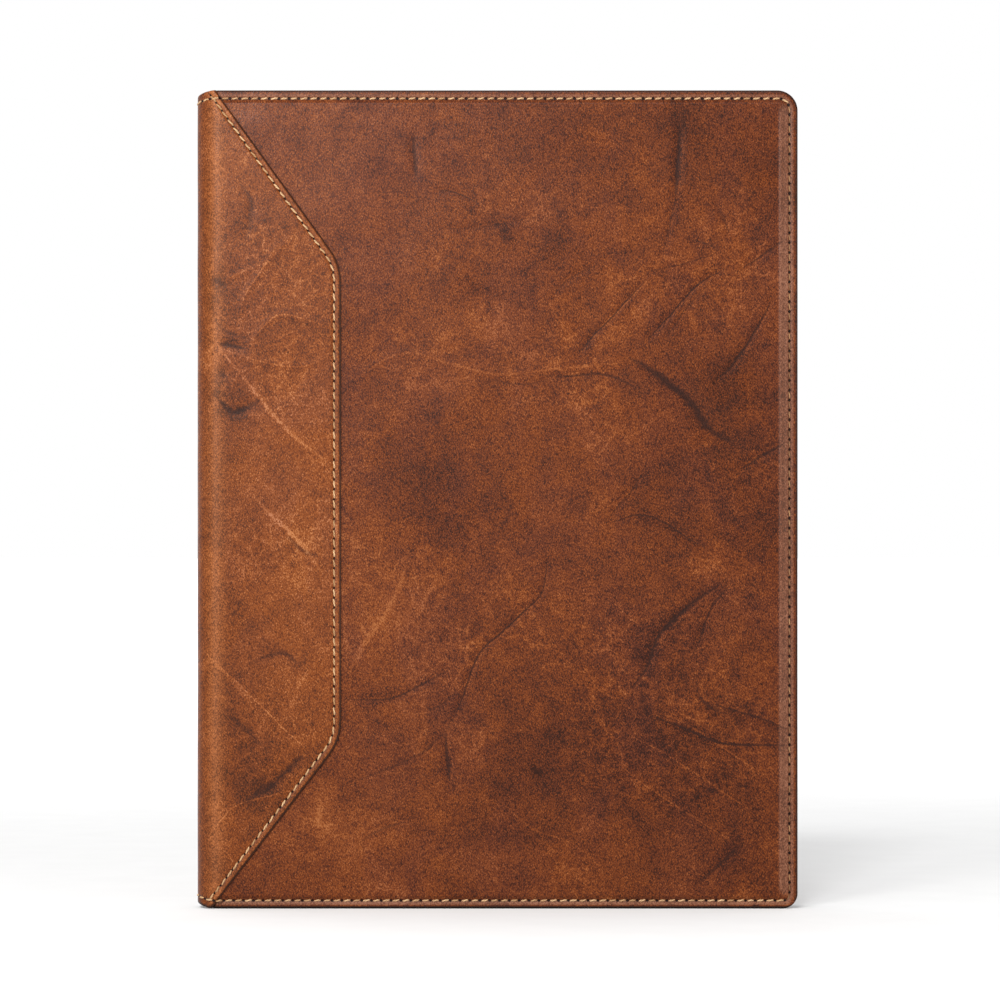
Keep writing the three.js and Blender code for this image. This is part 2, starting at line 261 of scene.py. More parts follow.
def wrap_edge(inset=0.0):
    """The spine cover's edge on a face as (s, z), from the foot to the head, shifted inwards."""
    reach = FOLD_S + WRAP_REACH - SPINE_RADIUS - inset
    low_tip = (s_of_x(LEFT + WRAP_LOW_TIP) - inset * 1.2, 0.0)
    high_tip = (s_of_x(LEFT + WRAP_HIGH_TIP) - inset * 1.2, HEIGHT)
    low = (reach, WRAP_LOW_CORNER + inset * 0.45)
    high = (reach, WRAP_HIGH_CORNER - inset * 0.45)
    round_off = WRAP_CORNER_ROUND - inset
    return rounded_path([low_tip, low, high, high_tip], [round_off * 2, round_off * 2])


def perimeter(inset):
    """A cover's outline as (s, z), from the middle of the spine at the head to the middle at the foot."""
    right, top = FREE_S - inset, HEIGHT - inset
    corners = [(0, top), (right, top), (right, inset), (0, inset)]
    return rounded_path(corners, [max(TOP_CORNER - inset, 1.0), max(LOW_CORNER - inset, 1.0)], 8)


def free_edge_distance(s, z):
    """Distance inwards from a cover's outer edge: from the free edge, and from the head or foot."""
    return FREE_S - np.abs(s), np.minimum(z, HEIGHT - z)


def foot_contact_shadow(z):
    """Painted contact shadow: leather darkened towards near black along the foot, where the cover stands on
    the floor.
    """
    return 2.0 * (1 - smooth(z, 0.3, 1.3))


def foot_strip(z):
    """Paler leather between the foot's seam and its edge."""
    return 0.7 * smooth(z, 1.2, 1.9) * (1 - smooth(z, 2.7, 3.2))


def border_drop(s, z):
    """How far the leather lies below the board's level along the edges, with the seam groove."""
    side_gap, end_gap = free_edge_distance(s, z)
    slope = np.maximum(1 - smooth(side_gap, *SIDE_SLOPE), 1 - smooth(end_gap, *END_SLOPE))
    ridge = 0.16 * bump_at(side_gap - RIDGE_AT, 0.5) * smooth(end_gap, 6.0, 12.0)
    gap = edge_gap(s, z)
    groove = 0.22 * bump_at(gap - SEAM_INSET, 0.55)
    rolled = 0.5 * np.clip(1 - gap / 1.1, 0, 1) ** 2
    return EDGE_DROP * slope + groove + rolled - ridge


def edge_gap(s, z):
    """Distance inwards from a cover's outline, round its two free corners too."""
    side_gap, end_gap = free_edge_distance(s, z)
    radius = np.where(z > HEIGHT / 2, TOP_CORNER, LOW_CORNER)
    in_corner = (side_gap < radius) & (end_gap < radius)
    from_centre = np.hypot(radius - side_gap, radius - end_gap)
    return np.where(in_corner, radius - from_centre, np.minimum(side_gap, end_gap))


def round_corners(s, z):
    """Pulls a square grid's free corners in to round ones."""
    side_gap, end_gap = free_edge_distance(s, z)
    radius = np.where(z > HEIGHT / 2, TOP_CORNER, LOW_CORNER)
    inside = (side_gap < radius) & (end_gap < radius)
    u = np.clip(1 - side_gap / radius, 0, 1)
    v = np.clip(1 - end_gap / radius, 0, 1)
    new_u, new_v = u * np.sqrt(1 - v**2 / 2), v * np.sqrt(1 - u**2 / 2)
    new_s = FREE_S - radius * (1 - new_u)
    end = radius * (1 - new_v)
    new_z = np.where(z > HEIGHT / 2, HEIGHT - end, end)
    return np.where(inside, new_s, s), np.where(inside, new_z, z)


# ---------------------------------------------------------------- marks in the leather

# Each mark is a list of (across from the spine's edge, height) points with its strength and width
PANEL_CREASES = [
    ([(137, 136), (135, 124), (129, 117), (118, 107), (110, 99),
      (106, 89), (103, 80), (100, 73)], 1.0, 0.8),
    ([(100, 73), (92, 64), (80, 57), (62, 50)], 0.45, 1.2),
    ([(58, 82), (75, 82), (87, 87), (99, 94)], 0.8, 0.8),
    ([(89, 77), (96, 80), (103, 86)], 0.5, 0.7),
    ([(97, 68), (98, 59), (99, 50)], 0.9, 1.4),
    ([(93, 281), (101, 280), (110, 276)], 0.8, 0.7),
    ([(94, 266), (108, 266), (121, 268), (134, 271)], 0.35, 0.7),
    ([(175, 245), (165, 234), (157, 226), (149, 217)], 1.0, 0.7),
    ([(206, 250), (196, 244), (185, 232), (176, 222)], 1.0, 0.7),
    ([(200, 244), (190, 233), (183, 222)], 0.5, 0.7),
    ([(139, 240), (147, 247), (157, 252)], 0.45, 0.7),
    ([(176, 249), (190, 252), (203, 256)], 0.5, 0.7),
    ([(225, 238), (218, 225), (212, 216), (203, 206)], 1.0, 1.1),
    ([(231, 262), (222, 256), (213, 250)], 0.8, 0.9),
    ([(170, 215), (181, 208), (193, 198), (200, 188), (210, 182)], 1.0, 3.4),
    ([(133, 209), (142, 208), (157, 209), (165, 207), (174, 202)], 0.7, 1.0),
    ([(213, 172), (221, 177), (230, 182)], 0.9, 1.0),
    ([(161, 153), (169, 162), (174, 170)], 0.7, 0.7),
    ([(162, 151), (173, 154), (183, 151), (192, 145), (199, 141)], 0.9, 0.8),
    ([(206, 128), (192, 118), (181, 107), (176, 95), (170, 86)], 1.0, 1.5),
    ([(209, 127), (202, 119), (198, 109), (193, 98)], 0.8, 0.9),
    ([(177, 76), (192, 70), (204, 65), (219, 64), (231, 64)], 1.0, 1.1),
    ([(202, 80), (212, 77), (222, 74), (231, 70)], 0.9, 0.9),
    ([(196, 85), (199, 80), (206, 76)], 0.7, 1.4),
    ([(211, 24), (204, 17), (196, 10)], 0.8, 1.6),
    ([(189, 306), (188, 291), (187, 278)], 1.0, 1.9),
    ([(187, 278), (185, 268), (182, 256)], 0.4, 0.9),
    ([(85, 302), (85, 294), (86, 286)], 0.8, 1.5),
    ([(192, 262), (199, 260), (205, 257)], 0.6, 0.8),
    ([(203, 276), (206, 270), (208, 264)], 0.5, 1.0),
    ([(110, 208), (126, 205), (140, 207)], 0.4, 0.9),
    ([(64, 26), (72, 31), (82, 34)], 0.5, 1.2),
]
PANEL_VEINS = [
    ([(60, 206), (80, 217), (100, 213), (118, 209), (140, 211), (172, 214)], 0.5, 1.4),
    ([(178, 247), (168, 237), (160, 229), (153, 221)], 0.8, 0.9),
    ([(82, 134), (76, 118), (66, 104), (60, 92)], 0.7, 2.4),
    ([(95, 132), (88, 118), (84, 112)], 0.4, 2.0),
    ([(199, 141), (206, 133), (207, 128)], 0.5, 1.4),
    ([(108, 118), (106, 108), (110, 101)], 0.5, 1.6),
    ([(110, 124), (122, 124), (130, 124)], 0.4, 1.0),
    ([(154, 128), (166, 117), (180, 106), (196, 100)], 0.6, 0.8),
    ([(160, 118), (172, 112), (184, 101)], 0.5, 0.7),
    ([(173, 84), (190, 80), (206, 84), (222, 80)], 0.4, 0.8),
    ([(174, 79), (192, 72), (210, 60), (231, 46)], 0.6, 0.8),
    ([(166, 70), (184, 60), (202, 48), (224, 34)], 0.7, 0.8),
    ([(158, 62), (176, 48), (194, 36), (210, 26)], 0.7, 0.8),
    ([(150, 80), (162, 68), (170, 52), (176, 40)], 0.4, 0.8),
    ([(152, 88), (158, 78), (160, 66)], 0.4, 1.0),
    ([(118, 44), (130, 32), (146, 26), (156, 18)], 0.5, 0.8),
    ([(190, 98), (204, 92), (220, 84)], 0.5, 0.8),
    ([(136, 84), (150, 80), (160, 82)], 0.4, 1.2),
]
WRAP_CREASES = [
    ([(10, 232), (16, 226), (26, 222)], 0.5, 1.6),
    ([(14, 221), (19, 220), (24, 219)], 1.0, 2.2),
    ([(12, 200), (19, 194), (28, 198)], 0.9, 2.4),
    ([(12, 210), (16, 208)], 0.7, 2.2),
    ([(22, 284), (26, 276), (24, 262)], 0.6, 2.0),
    ([(10, 246), (16, 244)], 0.6, 2.6),
    ([(28, 44), (36, 50), (46, 60)], 0.9, 3.0),
    ([(22, 40), (30, 47), (40, 52)], 0.6, 2.2),
    ([(16, 76), (24, 70), (32, 62)], 0.4, 2.0),
    ([(40, 146), (46, 140), (52, 138)], 0.5, 2.0),
    ([(30, 98), (38, 100), (44, 96)], 0.6, 1.8),
]
WRAP_VEINS = [
    ([(11, 222), (24, 206), (40, 187), (54, 176)], 0.9, 1.7),
    ([(24, 164), (36, 152), (46, 142), (54, 131)], 0.8, 1.8),
    ([(4, 102), (20, 89), (36, 73), (48, 62)], 1.0, 0.8),
    ([(10, 98), (22, 84), (30, 74)], 0.5, 0.7),
    ([(8, 28), (20, 40), (36, 45), (46, 47)], 0.9, 0.7),
    ([(6, 30), (16, 22), (24, 14), (34, 22)], 0.6, 0.7),
    ([(37, 260), (30, 250), (24, 240), (22, 232)], 0.8, 0.7),
    ([(10, 243), (20, 248), (32, 253), (41, 262)], 0.5, 0.9),
    ([(26, 222), (36, 232), (48, 230), (55, 228)], 0.8, 0.8),
    ([(22, 216), (34, 213), (46, 212), (56, 216)], 0.6, 0.8),
    ([(18, 200), (20, 208), (26, 212)], 0.5, 0.8),
    ([(30, 192), (40, 197), (52, 196)], 0.4, 0.9),
    ([(40, 74), (46, 90), (52, 96)], 0.3, 2.0),
]
# Each tone is (across, height, half width, half height, how much lighter)
PANEL_TONES = [
    (108, 230, 14, 11, 0.32), (95, 205, 9, 6, 0.2), (74, 118, 16, 24, 0.35), (112, 122, 26, 18, -0.05),
    (150, 180, 30, 16, 0.08), (55, 32, 28, 18, 0.38), (60, 286, 26, 20, 0.15), (96, 146, 9, 7, -0.25),
    (110, 243, 10, 7, -0.5), (124, 266, 3, 3, -0.9), (112, 273, 1.5, 1.5, -1.0), (140, 260, 6, 8, -0.4),
    (190, 305, 14, 8, -0.5), (222, 290, 14, 26, -0.35), (176, 60, 42, 30, -0.35), (210, 30, 26, 26, -0.3),
    (125, 50, 26, 22, -0.2), (205, 205, 14, 12, -0.35), (186, 100, 18, 12, -0.2), (132, 55, 3, 3, -0.6),
    (200, 150, 26, 14, 0.1), (196, 132, 16, 8, 0.15), (150, 100, 30, 14, -0.15), (100, 165, 20, 16, -0.2),
    (140, 300, 40, 14, -0.15), (208, 236, 14, 12, 0.15), (84, 160, 14, 30, -0.15), (216, 60, 8, 5, 0.4),
    (208, 160, 34, 44, -0.42), (150, 50, 40, 30, -0.12),
]
WRAP_TONES = [
    (40, 170, 20, 36, 0.25), (45, 125, 12, 22, 0.3), (30, 270, 14, 14, -0.2), (18, 196, 9, 8, -0.5),
    (20, 240, 12, 20, -0.2), (30, 48, 14, 10, -0.45), (44, 240, 12, 12, 0.1), (14, 120, 8, 40, -0.1),
    (48, 84, 10, 16, 0.2), (20, 290, 12, 8, 0.25), (20, 60, 8, 14, -0.3), (50, 204, 8, 14, 0.1),
]
# Each crackled region is (across, height, half width, half height)
WRAP_CRACKLED = [(32, 234, 24, 34), (30, 205, 20, 14), (36, 60, 16, 22), (30, 140, 14, 12)]
CRACKLED = {
    FRONT: [(186, 70, 34, 30), (178, 105, 22, 16), (200, 240, 16, 14), (96, 100, 14, 14)],
    BACK: [(160, 200, 40, 30), (110, 90, 26, 22)],
}
BACK_CREASES = [
    ([(90, 250), (110, 238), (124, 220), (130, 200)], 0.8, 0.9),
    ([(150, 290), (162, 276), (170, 258)], 0.6, 0.9),
    ([(180, 180), (196, 170), (216, 166)], 0.8, 0.9),
    ([(80, 120), (96, 112), (118, 110), (136, 100)], 0.8, 0.8),
    ([(170, 60), (186, 72), (206, 78), (226, 76)], 0.9, 1.0),
    ([(120, 40), (134, 46), (150, 44)], 0.5, 1.2),
]
BACK_VEINS = [
    ([(70, 200), (90, 190), (120, 186), (150, 192)], 0.6, 1.2),
    ([(160, 240), (180, 226), (206, 220), (230, 208)], 0.6, 0.9),
    ([(140, 150), (156, 132), (176, 120), (196, 100)], 0.6, 0.9),
    ([(84, 60), (104, 70), (124, 66)], 0.5, 1.2),
]
BACK_TONES = [
    (110, 240, 30, 24, 0.3), (190, 250, 24, 34, -0.3), (160, 120, 30, 26, 0.25), (100, 70, 30, 24, -0.25),
    (200, 60, 24, 24, -0.2), (80, 180, 16, 40, 0.2), (210, 150, 12, 18, 0.2),
]
TONE_SEEDS = {FRONT: 1.5, BACK: 4.5}
PANEL_MARKS = {
    FRONT: (PANEL_CREASES, PANEL_VEINS, PANEL_TONES),
    BACK: (BACK_CREASES, BACK_VEINS, BACK_TONES),
}

def line_field(marks, across, z, seed):
    """The nearest mark to each point as (signed distance in widths, strength, distance), and its relief."""
    nearest = np.full(np.shape(across), 1e9)
    side = np.full(np.shape(across), LINE_REACH)
    amount = np.zeros(np.shape(across))
    relief = np.zeros(np.shape(across))
    wobble = 0.7 * noise_field(across, z, 9.0, seed, 3)
    for points, strength, width in marks:
        curve = smooth_curve(points)
        total = np.sum(np.hypot(*np.diff(curve, axis=0).T))
        gap, length, signed = along_curve(curve, across + wobble, z)
        taper = 0.35 + 0.65 * np.sqrt(np.clip(np.minimum(length, total - length) / (0.3 * total), 0, 1))
        near = gap < nearest
        nearest = np.where(near, gap, nearest)
        side = np.where(near, signed / (LINE_WIDTH * width * taper), side)
        amount = np.where(near, strength * taper, amount)
        relief = np.maximum(relief, strength * taper * bump_at(gap, 0.6 + 0.7 * width))
    amount = amount * (1 - smooth(nearest, LINE_REACH * 0.5, LINE_REACH))
    side = np.clip(side, -LINE_REACH, LINE_REACH)
    return np.stack([side, amount, np.minimum(nearest, LINE_REACH)], axis=-1), relief


def tone_field(tones, across, z, seed):
    """Lighter and darker clouds, with ragged outlines."""
    shift_a = 7 * noise_field(across, z, 22.0, seed, 3)
    shift_z = 7 * noise_field(across, z, 22.0, seed + 5, 3)
    tone = np.zeros(np.shape(across))
    for a, b, wide, high, amount in tones:
        u, v = (across + shift_a - a) / wide, (z + shift_z - b) / high
        tone += amount * np.exp(-(u**2 + v**2))
    return tone


def region_field(regions, across, z):
    """Where the grain has drawn into a fine crackle: 1 in the middle of a region."""
    field = np.zeros(np.shape(across))
    ragged = 0.35 * noise_field(across, z, 14.0, 2.2, 3)
    for a, b, wide, high in regions:
        field = np.maximum(field, np.exp(-(((across - a) / wide) ** 2 + ((z - b) / high) ** 2)))
    return field * (1 + ragged)


# ---------------------------------------------------------------- meshes

def orient(faces, verts, outward):
    """Turns the faces over if the first ones look against the outward directions."""
    sample = faces[:: max(1, len(faces) // 50)]
    a, b, c = verts[sample[:, 0]], verts[sample[:, 1]], verts[sample[:, 2]]
    normals = np.cross(b - a, c - a)
    agree = np.einsum("ij,ij->i", normals, outward[sample[:, 0]])
    return faces[:, ::-1] if np.sum(np.sign(agree)) < 0 else faces


def grid_faces(rows, cols, start=0):
    index = np.arange(rows * cols).reshape(rows, cols) + start
    a, b, c, d = index[:-1, :-1], index[:-1, 1:], index[1:, 1:], index[1:, :-1]
    return np.stack([a.ravel(), b.ravel(), c.ravel(), d.ravel()], axis=1)


def boundary_loop(rows, cols):
    index = np.arange(rows * cols).reshape(rows, cols)
    return np.concatenate([index[0, :-1], index[:-1, -1], index[-1, :0:-1], index[:0:-1, 0]])


def make_object(name, verts, faces, materials, face_slots=None, smooth_angle=40):
    """A piece from vertices in millimetres and faces."""
    mesh = bpy.data.meshes.new(name)
    mesh.from_pydata((np.asarray(verts) * MM).tolist(), [], [list(map(int, face)) for face in faces])
    for material in materials:
        mesh.materials.append(material)
    if face_slots is not None:
        mesh.polygons.foreach_set("material_index", np.asarray(face_slots, np.int32))
    mesh.polygons.foreach_set("use_smooth", np.ones(len(mesh.polygons), bool))
    mesh.set_sharp_from_angle(angle=math.radians(smooth_angle))
    mesh.update()
    obj = bpy.data.objects.new(name, mesh)
    bpy.context.scene.collection.objects.link(obj)
    return obj


def set_attribute(obj, name, values, domain="POINT"):
    """A float or vector attribute on the piece's points or faces, from one row for each."""
    values = np.asarray(values, np.float32)
    kind, key = ("FLOAT", "value") if values.ndim == 1 else ("FLOAT_VECTOR", "vector")
    attribute = obj.data.attributes.new(name, kind, domain)
    attribute.data.foreach_set(key, values.ravel())


def shell_faces(rows, cols, verts, outward):
    """Faces of a shell between two grids of points, and their slots: 0 on the grids, 1 on the rim."""
    count = rows * cols
    top = orient(grid_faces(rows, cols), verts, outward)
    bottom = orient(grid_faces(rows, cols, count), verts, outward)
    loop = boundary_loop(rows, cols)
    after = np.roll(loop, -1)
    walls = np.stack([loop, loop + count, after + count, after], axis=1)
    if top[0, 1] != 1:
        walls = walls[:, ::-1]
    slots = np.concatenate([np.zeros(len(top) + len(bottom)), np.ones(len(walls))])
    return np.concatenate([top, bottom, walls]), slots


def skin(name, s, z, outer, inner, materials, marks=None):
    """A closed piece of leather between two grids of points, with its cut edges in the second material.

    The marks are values at the outer points, and are left blank at the inner ones.
    """
    count = s.size
    verts = np.concatenate([outer.reshape(-1, 3), inner.reshape(-1, 3)])
    outward = np.concatenate([(outer - inner).reshape(-1, 3), (inner - outer).reshape(-1, 3)])
    faces, slots = shell_faces(*s.shape, verts, outward)
    obj = make_object(name, verts, faces, materials, slots)
    flat = np.stack([s.ravel(), z.ravel(), np.zeros(count)], axis=1)
    set_attribute(obj, "skin_at", np.concatenate([flat, flat + UNDERSIDE_SHIFT]))
    no_seam = np.broadcast_to(NO_SEAM, (count, 3))
    for key, values in {"seam_at": no_seam, **(marks or {})}.items():
        values = values.reshape(count) if values.size == count else values.reshape(count, 3)
        blank = no_seam if key == "seam_at" else np.zeros_like(values)
        set_attribute(obj, key, np.concatenate([values, blank]))
    return obj


def steps_between(low, high, step):
    return np.linspace(low, high, max(2, int(math.ceil((high - low) / step)) + 1))


def height_lines():
    """Heights of the grid's rows: fine near the head and foot, wider between."""
    foot = steps_between(0, FINE_BAND, FINE_GRID)
    body = steps_between(FINE_BAND, HEIGHT - FINE_BAND, GRID)
    head = steps_between(HEIGHT - FINE_BAND, HEIGHT, FINE_GRID)
    return np.concatenate([foot[:-1], body[:-1], head])


def seam_coordinates(path, s, z):
    """Place along a seam in stitches and distance across it, as one vector for each point."""
    _, length, signed = along_curve(path, s, z)
    return np.stack([length / STITCH_PITCH, signed, np.zeros(np.shape(s))], axis=-1)


def path_length(path):
    return np.sum(np.hypot(*np.diff(path, axis=0).T))


def bend_with_spine(piece):
    """Bakes the piece's placement into its vertices."""
    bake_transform(piece)


def panel_marks(side, across, s, z):
    """Marks of a panel at each point of its grid, and its relief."""
    creases, veins, tones = PANEL_MARKS[side]
    crease, depth = line_field(creases, across, z, 3.0)
    vein, raised = line_field(veins, across, z, 8.0)
    gap = edge_gap(s, z)
    side_gap, end_gap = free_edge_distance(s, z)
    strip = (1 - smooth(side_gap, 5.6, 6.6)) * smooth(side_gap, SEAM_INSET, SEAM_INSET + 0.8)
    border = smooth(gap, 1.3, 1.9) * (1 - smooth(gap, 2.6, 3.2))
    ridge = bump_at(side_gap - RIDGE_AT, 0.55) * smooth(end_gap, 5.0, 9.0)
    rim = 1 - smooth(gap, 0.2, 1.3)
    # Painted sheen on the slopes along the edges and on the board's ridge, where they face the lamps, and
    # paler leather on the foot strip; the rim is dark edge dye.
    wear_and_painted_light = 1.1 * strip * smooth(end_gap, 4, 8) + 1.2 * ridge + 0.9 * border + foot_strip(z)
    marks = {
        "crease_at": crease,
        "vein_at": vein,
        "crackle": region_field(CRACKLED[side], across, z),
        "tone": tone_field(tones, across, z, TONE_SEEDS[side]),
        "sheen_wear_dye_and_shade": wear_and_painted_light - rim - foot_contact_shadow(z),
        "seam_at": seam_coordinates(perimeter(SEAM_INSET), np.abs(s), z),
    }
    relief = RAISED * raised - SUNK * depth
    return marks, relief


def add_panel(side, name):
    """One cover's leather, from under the spine cover to the free edge."""
    start = FOLD_S - MID_RADIUS * UNDER_LAP_ANGLE
    fine_from = FREE_S - FINE_BAND
    wide = steps_between(start, fine_from, GRID)
    columns = np.concatenate([wide[:-1], steps_between(fine_from, FREE_S, FINE_GRID)])
    s, z = round_corners(*np.meshgrid(columns, height_lines()))
    gap = edge_gap(s, z)
    marks, relief = panel_marks(side, s - FOLD_S + SPINE_RADIUS, s, z)
    swell = 0.16 * noise_field(s, z, 38.0, 2.0 + side, 2) * smooth(gap, 6, 16)
    outer = place(side * s, z, PANEL_INSET, relief * smooth(gap, 1.0, 5.0) + swell - border_drop(s, z))
    inner = place(side * s, z, PANEL_INSET + LEATHER, -EDGE_DROP * (1 - smooth(gap, 3.7, 6.0)))
    panel = skin(f"{name}_panel_leather", side * s, z, outer, inner, [panel_leather, burnished_edge], marks)
    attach(panel, name)
    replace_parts(panel, f"{name}_panel")


def wrap_lift(s, z, edge_distance):
    """Relief of the spine cover: down at head and foot like the covers, and pressed in by its seams."""
    end_gap = np.minimum(z, HEIGHT - z)
    on_cover = smooth(s, FOLD_S - 6, FOLD_S + 3)
    drop = EDGE_DROP * 0.75 * (1 - smooth(end_gap, *END_SLOPE)) * on_cover
    drop = drop + (0.22 + 0.2 * on_cover) * np.clip(1 - end_gap / 0.9, 0, 1) ** 2
    lap_groove = 0.25 * bump_at(edge_distance - WRAP_SEAM_INSET, 0.6)
    end_groove = 0.2 * bump_at(end_gap - SEAM_INSET, 0.55)
    rolled = 0.42 * np.clip(1 - edge_distance / 0.9, 0, 1) ** 2
    return -drop - lap_groove - end_groove - rolled


def spine_cover_grid():
    """Grid over half of the spine cover: its columns spread from the spine's middle to the shaped edge."""
    edge = wrap_edge()
    order = np.argsort(edge[:, 1])
    heights = height_lines()
    reach = np.interp(heights, edge[order, 1], edge[order, 0])
    wide = np.linspace(0, 1 - EDGE_SHARE, WIDE_COLUMNS)
    share = np.concatenate([wide[:-1], np.linspace(1 - EDGE_SHARE, 1, EDGE_COLUMNS)])
    return share[None, :] * reach[:, None], np.repeat(heights[:, None], len(share), axis=1)


def spine_cover_seams(s, z):
    """Seam coordinates of the nearer seam: along head and foot, or along the shaped edge."""
    gap, length, signed = along_curve(wrap_edge(WRAP_SEAM_INSET), s, z)
    lap_seam = np.stack([length / STITCH_PITCH, LAP_SEAM_NARROWER * signed, np.zeros_like(s)], axis=-1)
    end_seam = seam_coordinates(perimeter(SEAM_INSET), s, z)
    nearer = np.abs(end_seam[..., 1]) < gap
    return np.where(nearer[..., None], end_seam, lap_seam)


def spine_cover_marks(side, s, z, gap, away):
    """Marks of half of the spine cover and its relief, faded by away at the spine's middle and the edge."""
    across = np.clip(s - FOLD_S + SPINE_RADIUS, 0, None) + np.clip(s, 0, FOLD_S) * 0.3
    mark_z = z if side == FRONT else HEIGHT - z
    crease, depth = line_field(WRAP_CREASES, across, mark_z, 13.0)
    vein, raised = line_field(WRAP_VEINS, across, mark_z, 18.0)
    fade = np.stack([np.ones_like(away), away, np.ones_like(away)], axis=-1)
    # Painted highlight on the spine's round where it turns to the lamps, with the leather also stretched
    # paler there; along the edge a paler burnished band, then a dark line that is edge dye and a painted
    # shadow line.
    fold_sheen_and_stretch = 0.55 * bump_at(s - FOLD_S + 1.5, 3.2)
    edge_burnish_and_shadow_line = 0.25 * (1 - smooth(gap, 1.2, 2.2)) - 1.5 * (1 - smooth(gap, 0.25, 0.9))
    marks = {
        "crease_at": crease * fade,
        "vein_at": vein * fade,
        "crackle": region_field(WRAP_CRACKLED, across, mark_z) * away,
        "tone": tone_field(WRAP_TONES, across, mark_z, 9.5 + side),
        "sheen_wear_dye_and_shade": fold_sheen_and_stretch + edge_burnish_and_shadow_line - foot_contact_shadow(z),
        "seam_at": spine_cover_seams(s, z),
    }
    return marks, (RAISED * raised - SUNK * depth) * away


def add_spine_cover(side, name):
    """Half of the spine cover: from the middle of the spine to its shaped edge on one face."""
    s, z = spine_cover_grid()
    gap, _, _ = along_curve(wrap_edge(), s, z)
    away = smooth(s, 1.0, 4.0) * smooth(gap, 1.0, 4.0)
    marks, relief = spine_cover_marks(side, s, z, gap, away)
    swell = 0.12 * noise_field(side * s, z, 26.0, 6.0, 2) * away
    outer = place(side * s, z, 0, relief + swell + wrap_lift(s, z, gap))
    inner = place(side * s, z, WRAP, 0.9 * wrap_lift(s, z, FAR_FROM_EDGE))
    lap = skin(f"spine_cover_{name}_half", side * s, z, outer, inner, [wrap_leather, burnished_edge], marks)
    bend_with_spine(lap)
    return lap


# ---------------------------------------------------------------- thread

def tube_faces():
    """Faces of one stitch: quads from ring to ring, and a cap on each end."""
    quads = []
    for low in range(0, (STITCH_RINGS - 1) * STITCH_SIDES, STITCH_SIDES):
        for side in range(STITCH_SIDES):
            after = (side + 1) % STITCH_SIDES
            high = low + STITCH_SIDES
            quads.append([low + side, low + after, high + after, high + side])
    first_ring = list(range(STITCH_SIDES))
    last_ring = [(STITCH_RINGS - 1) * STITCH_SIDES + side for side in first_ring]
    return quads + [first_ring[::-1], last_ring]


def unit(vectors):
    return vectors / np.linalg.norm(vectors, axis=1)[:, None]


def stitch_points(s, z, side, surface, facing, thickness, phase):
    """Rings of points round a stitch that runs from one hole to the next, and the twist at each point."""
    t = np.linspace(0, 1, STITCH_RINGS)
    turn = np.linspace(0, 2 * math.pi, STITCH_SIDES, endpoint=False)
    arch = np.sin(math.pi * t) ** 0.55
    lift = surface(s, z) + facing * THREAD_RADIUS * (1.25 * arch - 0.75)
    centre = place(side * s, z, 0, lift)
    tangent = unit(np.gradient(centre, axis=0))
    across = unit(np.cross(tangent, place(side * s, z, 0, lift + facing) - centre))
    upward = np.cross(across, tangent)
    twist = np.cos(2 * (turn[None, :] - PLY_TURNS * t[:, None] - phase))
    radius = thickness * (0.62 + 0.38 * arch)[:, None] * (1 + PLY_DEPTH * twist)
    sideways = np.cos(turn)[None, :, None] * across[:, None, :]
    around = sideways + np.sin(turn)[None, :, None] * upward[:, None, :]
    return (centre[:, None, :] + radius[..., None] * around).reshape(-1, 3), twist.ravel()


def stitch_line(path, start, length, slant):
    """Points (s, z) under one stitch, slanted a little across the seam."""
    run = np.concatenate([[0], np.cumsum(np.hypot(*np.diff(path, axis=0).T))])
    t = np.linspace(0, 1, STITCH_RINGS)
    s = np.interp(start + t * length, run, path[:, 0])
    z = np.interp(start + t * length, run, path[:, 1])
    direction = np.array([s[-1] - s[0], z[-1] - z[0]])
    direction /= np.linalg.norm(direction)
    offset = slant * (t - 0.5) * length
    return s - direction[1] * offset, z + direction[0] * offset


def stitch_row(name, path, side, surface, first=0.0, last=math.inf, seed=1, facing=1, fill=EDGE_FILL):
    """Separate stitches of two-ply thread along a path in (s, z), thinner from wear on a free edge and
    darkened there with painted shade.
    """
    rng = np.random.default_rng(seed)
    verts, faces, tints, twists = [], [], [], []
    size = STITCH_RINGS * STITCH_SIDES
    for index in range(int(path_length(path) / STITCH_PITCH)):
        margin = (1 - fill) / 2 + rng.uniform(-0.03, 0.03)
        start, length = (index + margin) * STITCH_PITCH, (1 - 2 * margin) * STITCH_PITCH
        if start < first or start + length > last:
            continue
        s, z = stitch_line(path, start, length, STITCH_SLANT + rng.uniform(-0.05, 0.05))
        wear_and_painted_light = smooth(s.mean(), FREE_S - SEAM_INSET - 1.5, FREE_S - SEAM_INSET - 0.5) * max(facing, 0)
        thickness = THREAD_RADIUS * rng.uniform(0.94, 1.06) * (1 - RUBBED_THINNER * wear_and_painted_light)
        points, twist = stitch_points(s, z, side, surface, facing, thickness, index)
        faces += [[len(verts) * size + corner for corner in face] for face in tube_faces()]
        verts.append(points)
        twists.append(twist)
        # Each stitch's random tint, lowered on the free edge as painted shade
        tints.append(np.full(size, rng.uniform(0, 1) - FREE_EDGE_THREAD_SHADE * wear_and_painted_light))
    row = make_object(name, np.concatenate(verts), faces, [thread], smooth_angle=180)
    fix_normals(row.data)
    set_attribute(row, "tint", np.concatenate(tints))
    set_attribute(row, "twist", np.concatenate(twists))
    return row


def fix_normals(mesh):
    """Turns the faces of closed shells outwards."""
    shells = bmesh.new()
    shells.from_mesh(mesh)
    bmesh.ops.recalc_face_normals(shells, faces=shells.faces)
    shells.to_mesh(mesh)
    shells.free()


def panel_surface(s, z):
    return -PANEL_INSET - border_drop(s, z)


def wrap_surface(s, z):
    gap, _, _ = along_curve(wrap_edge(), s, z)
    return wrap_lift(s, z, gap)


# ---------------------------------------------------------------- materials

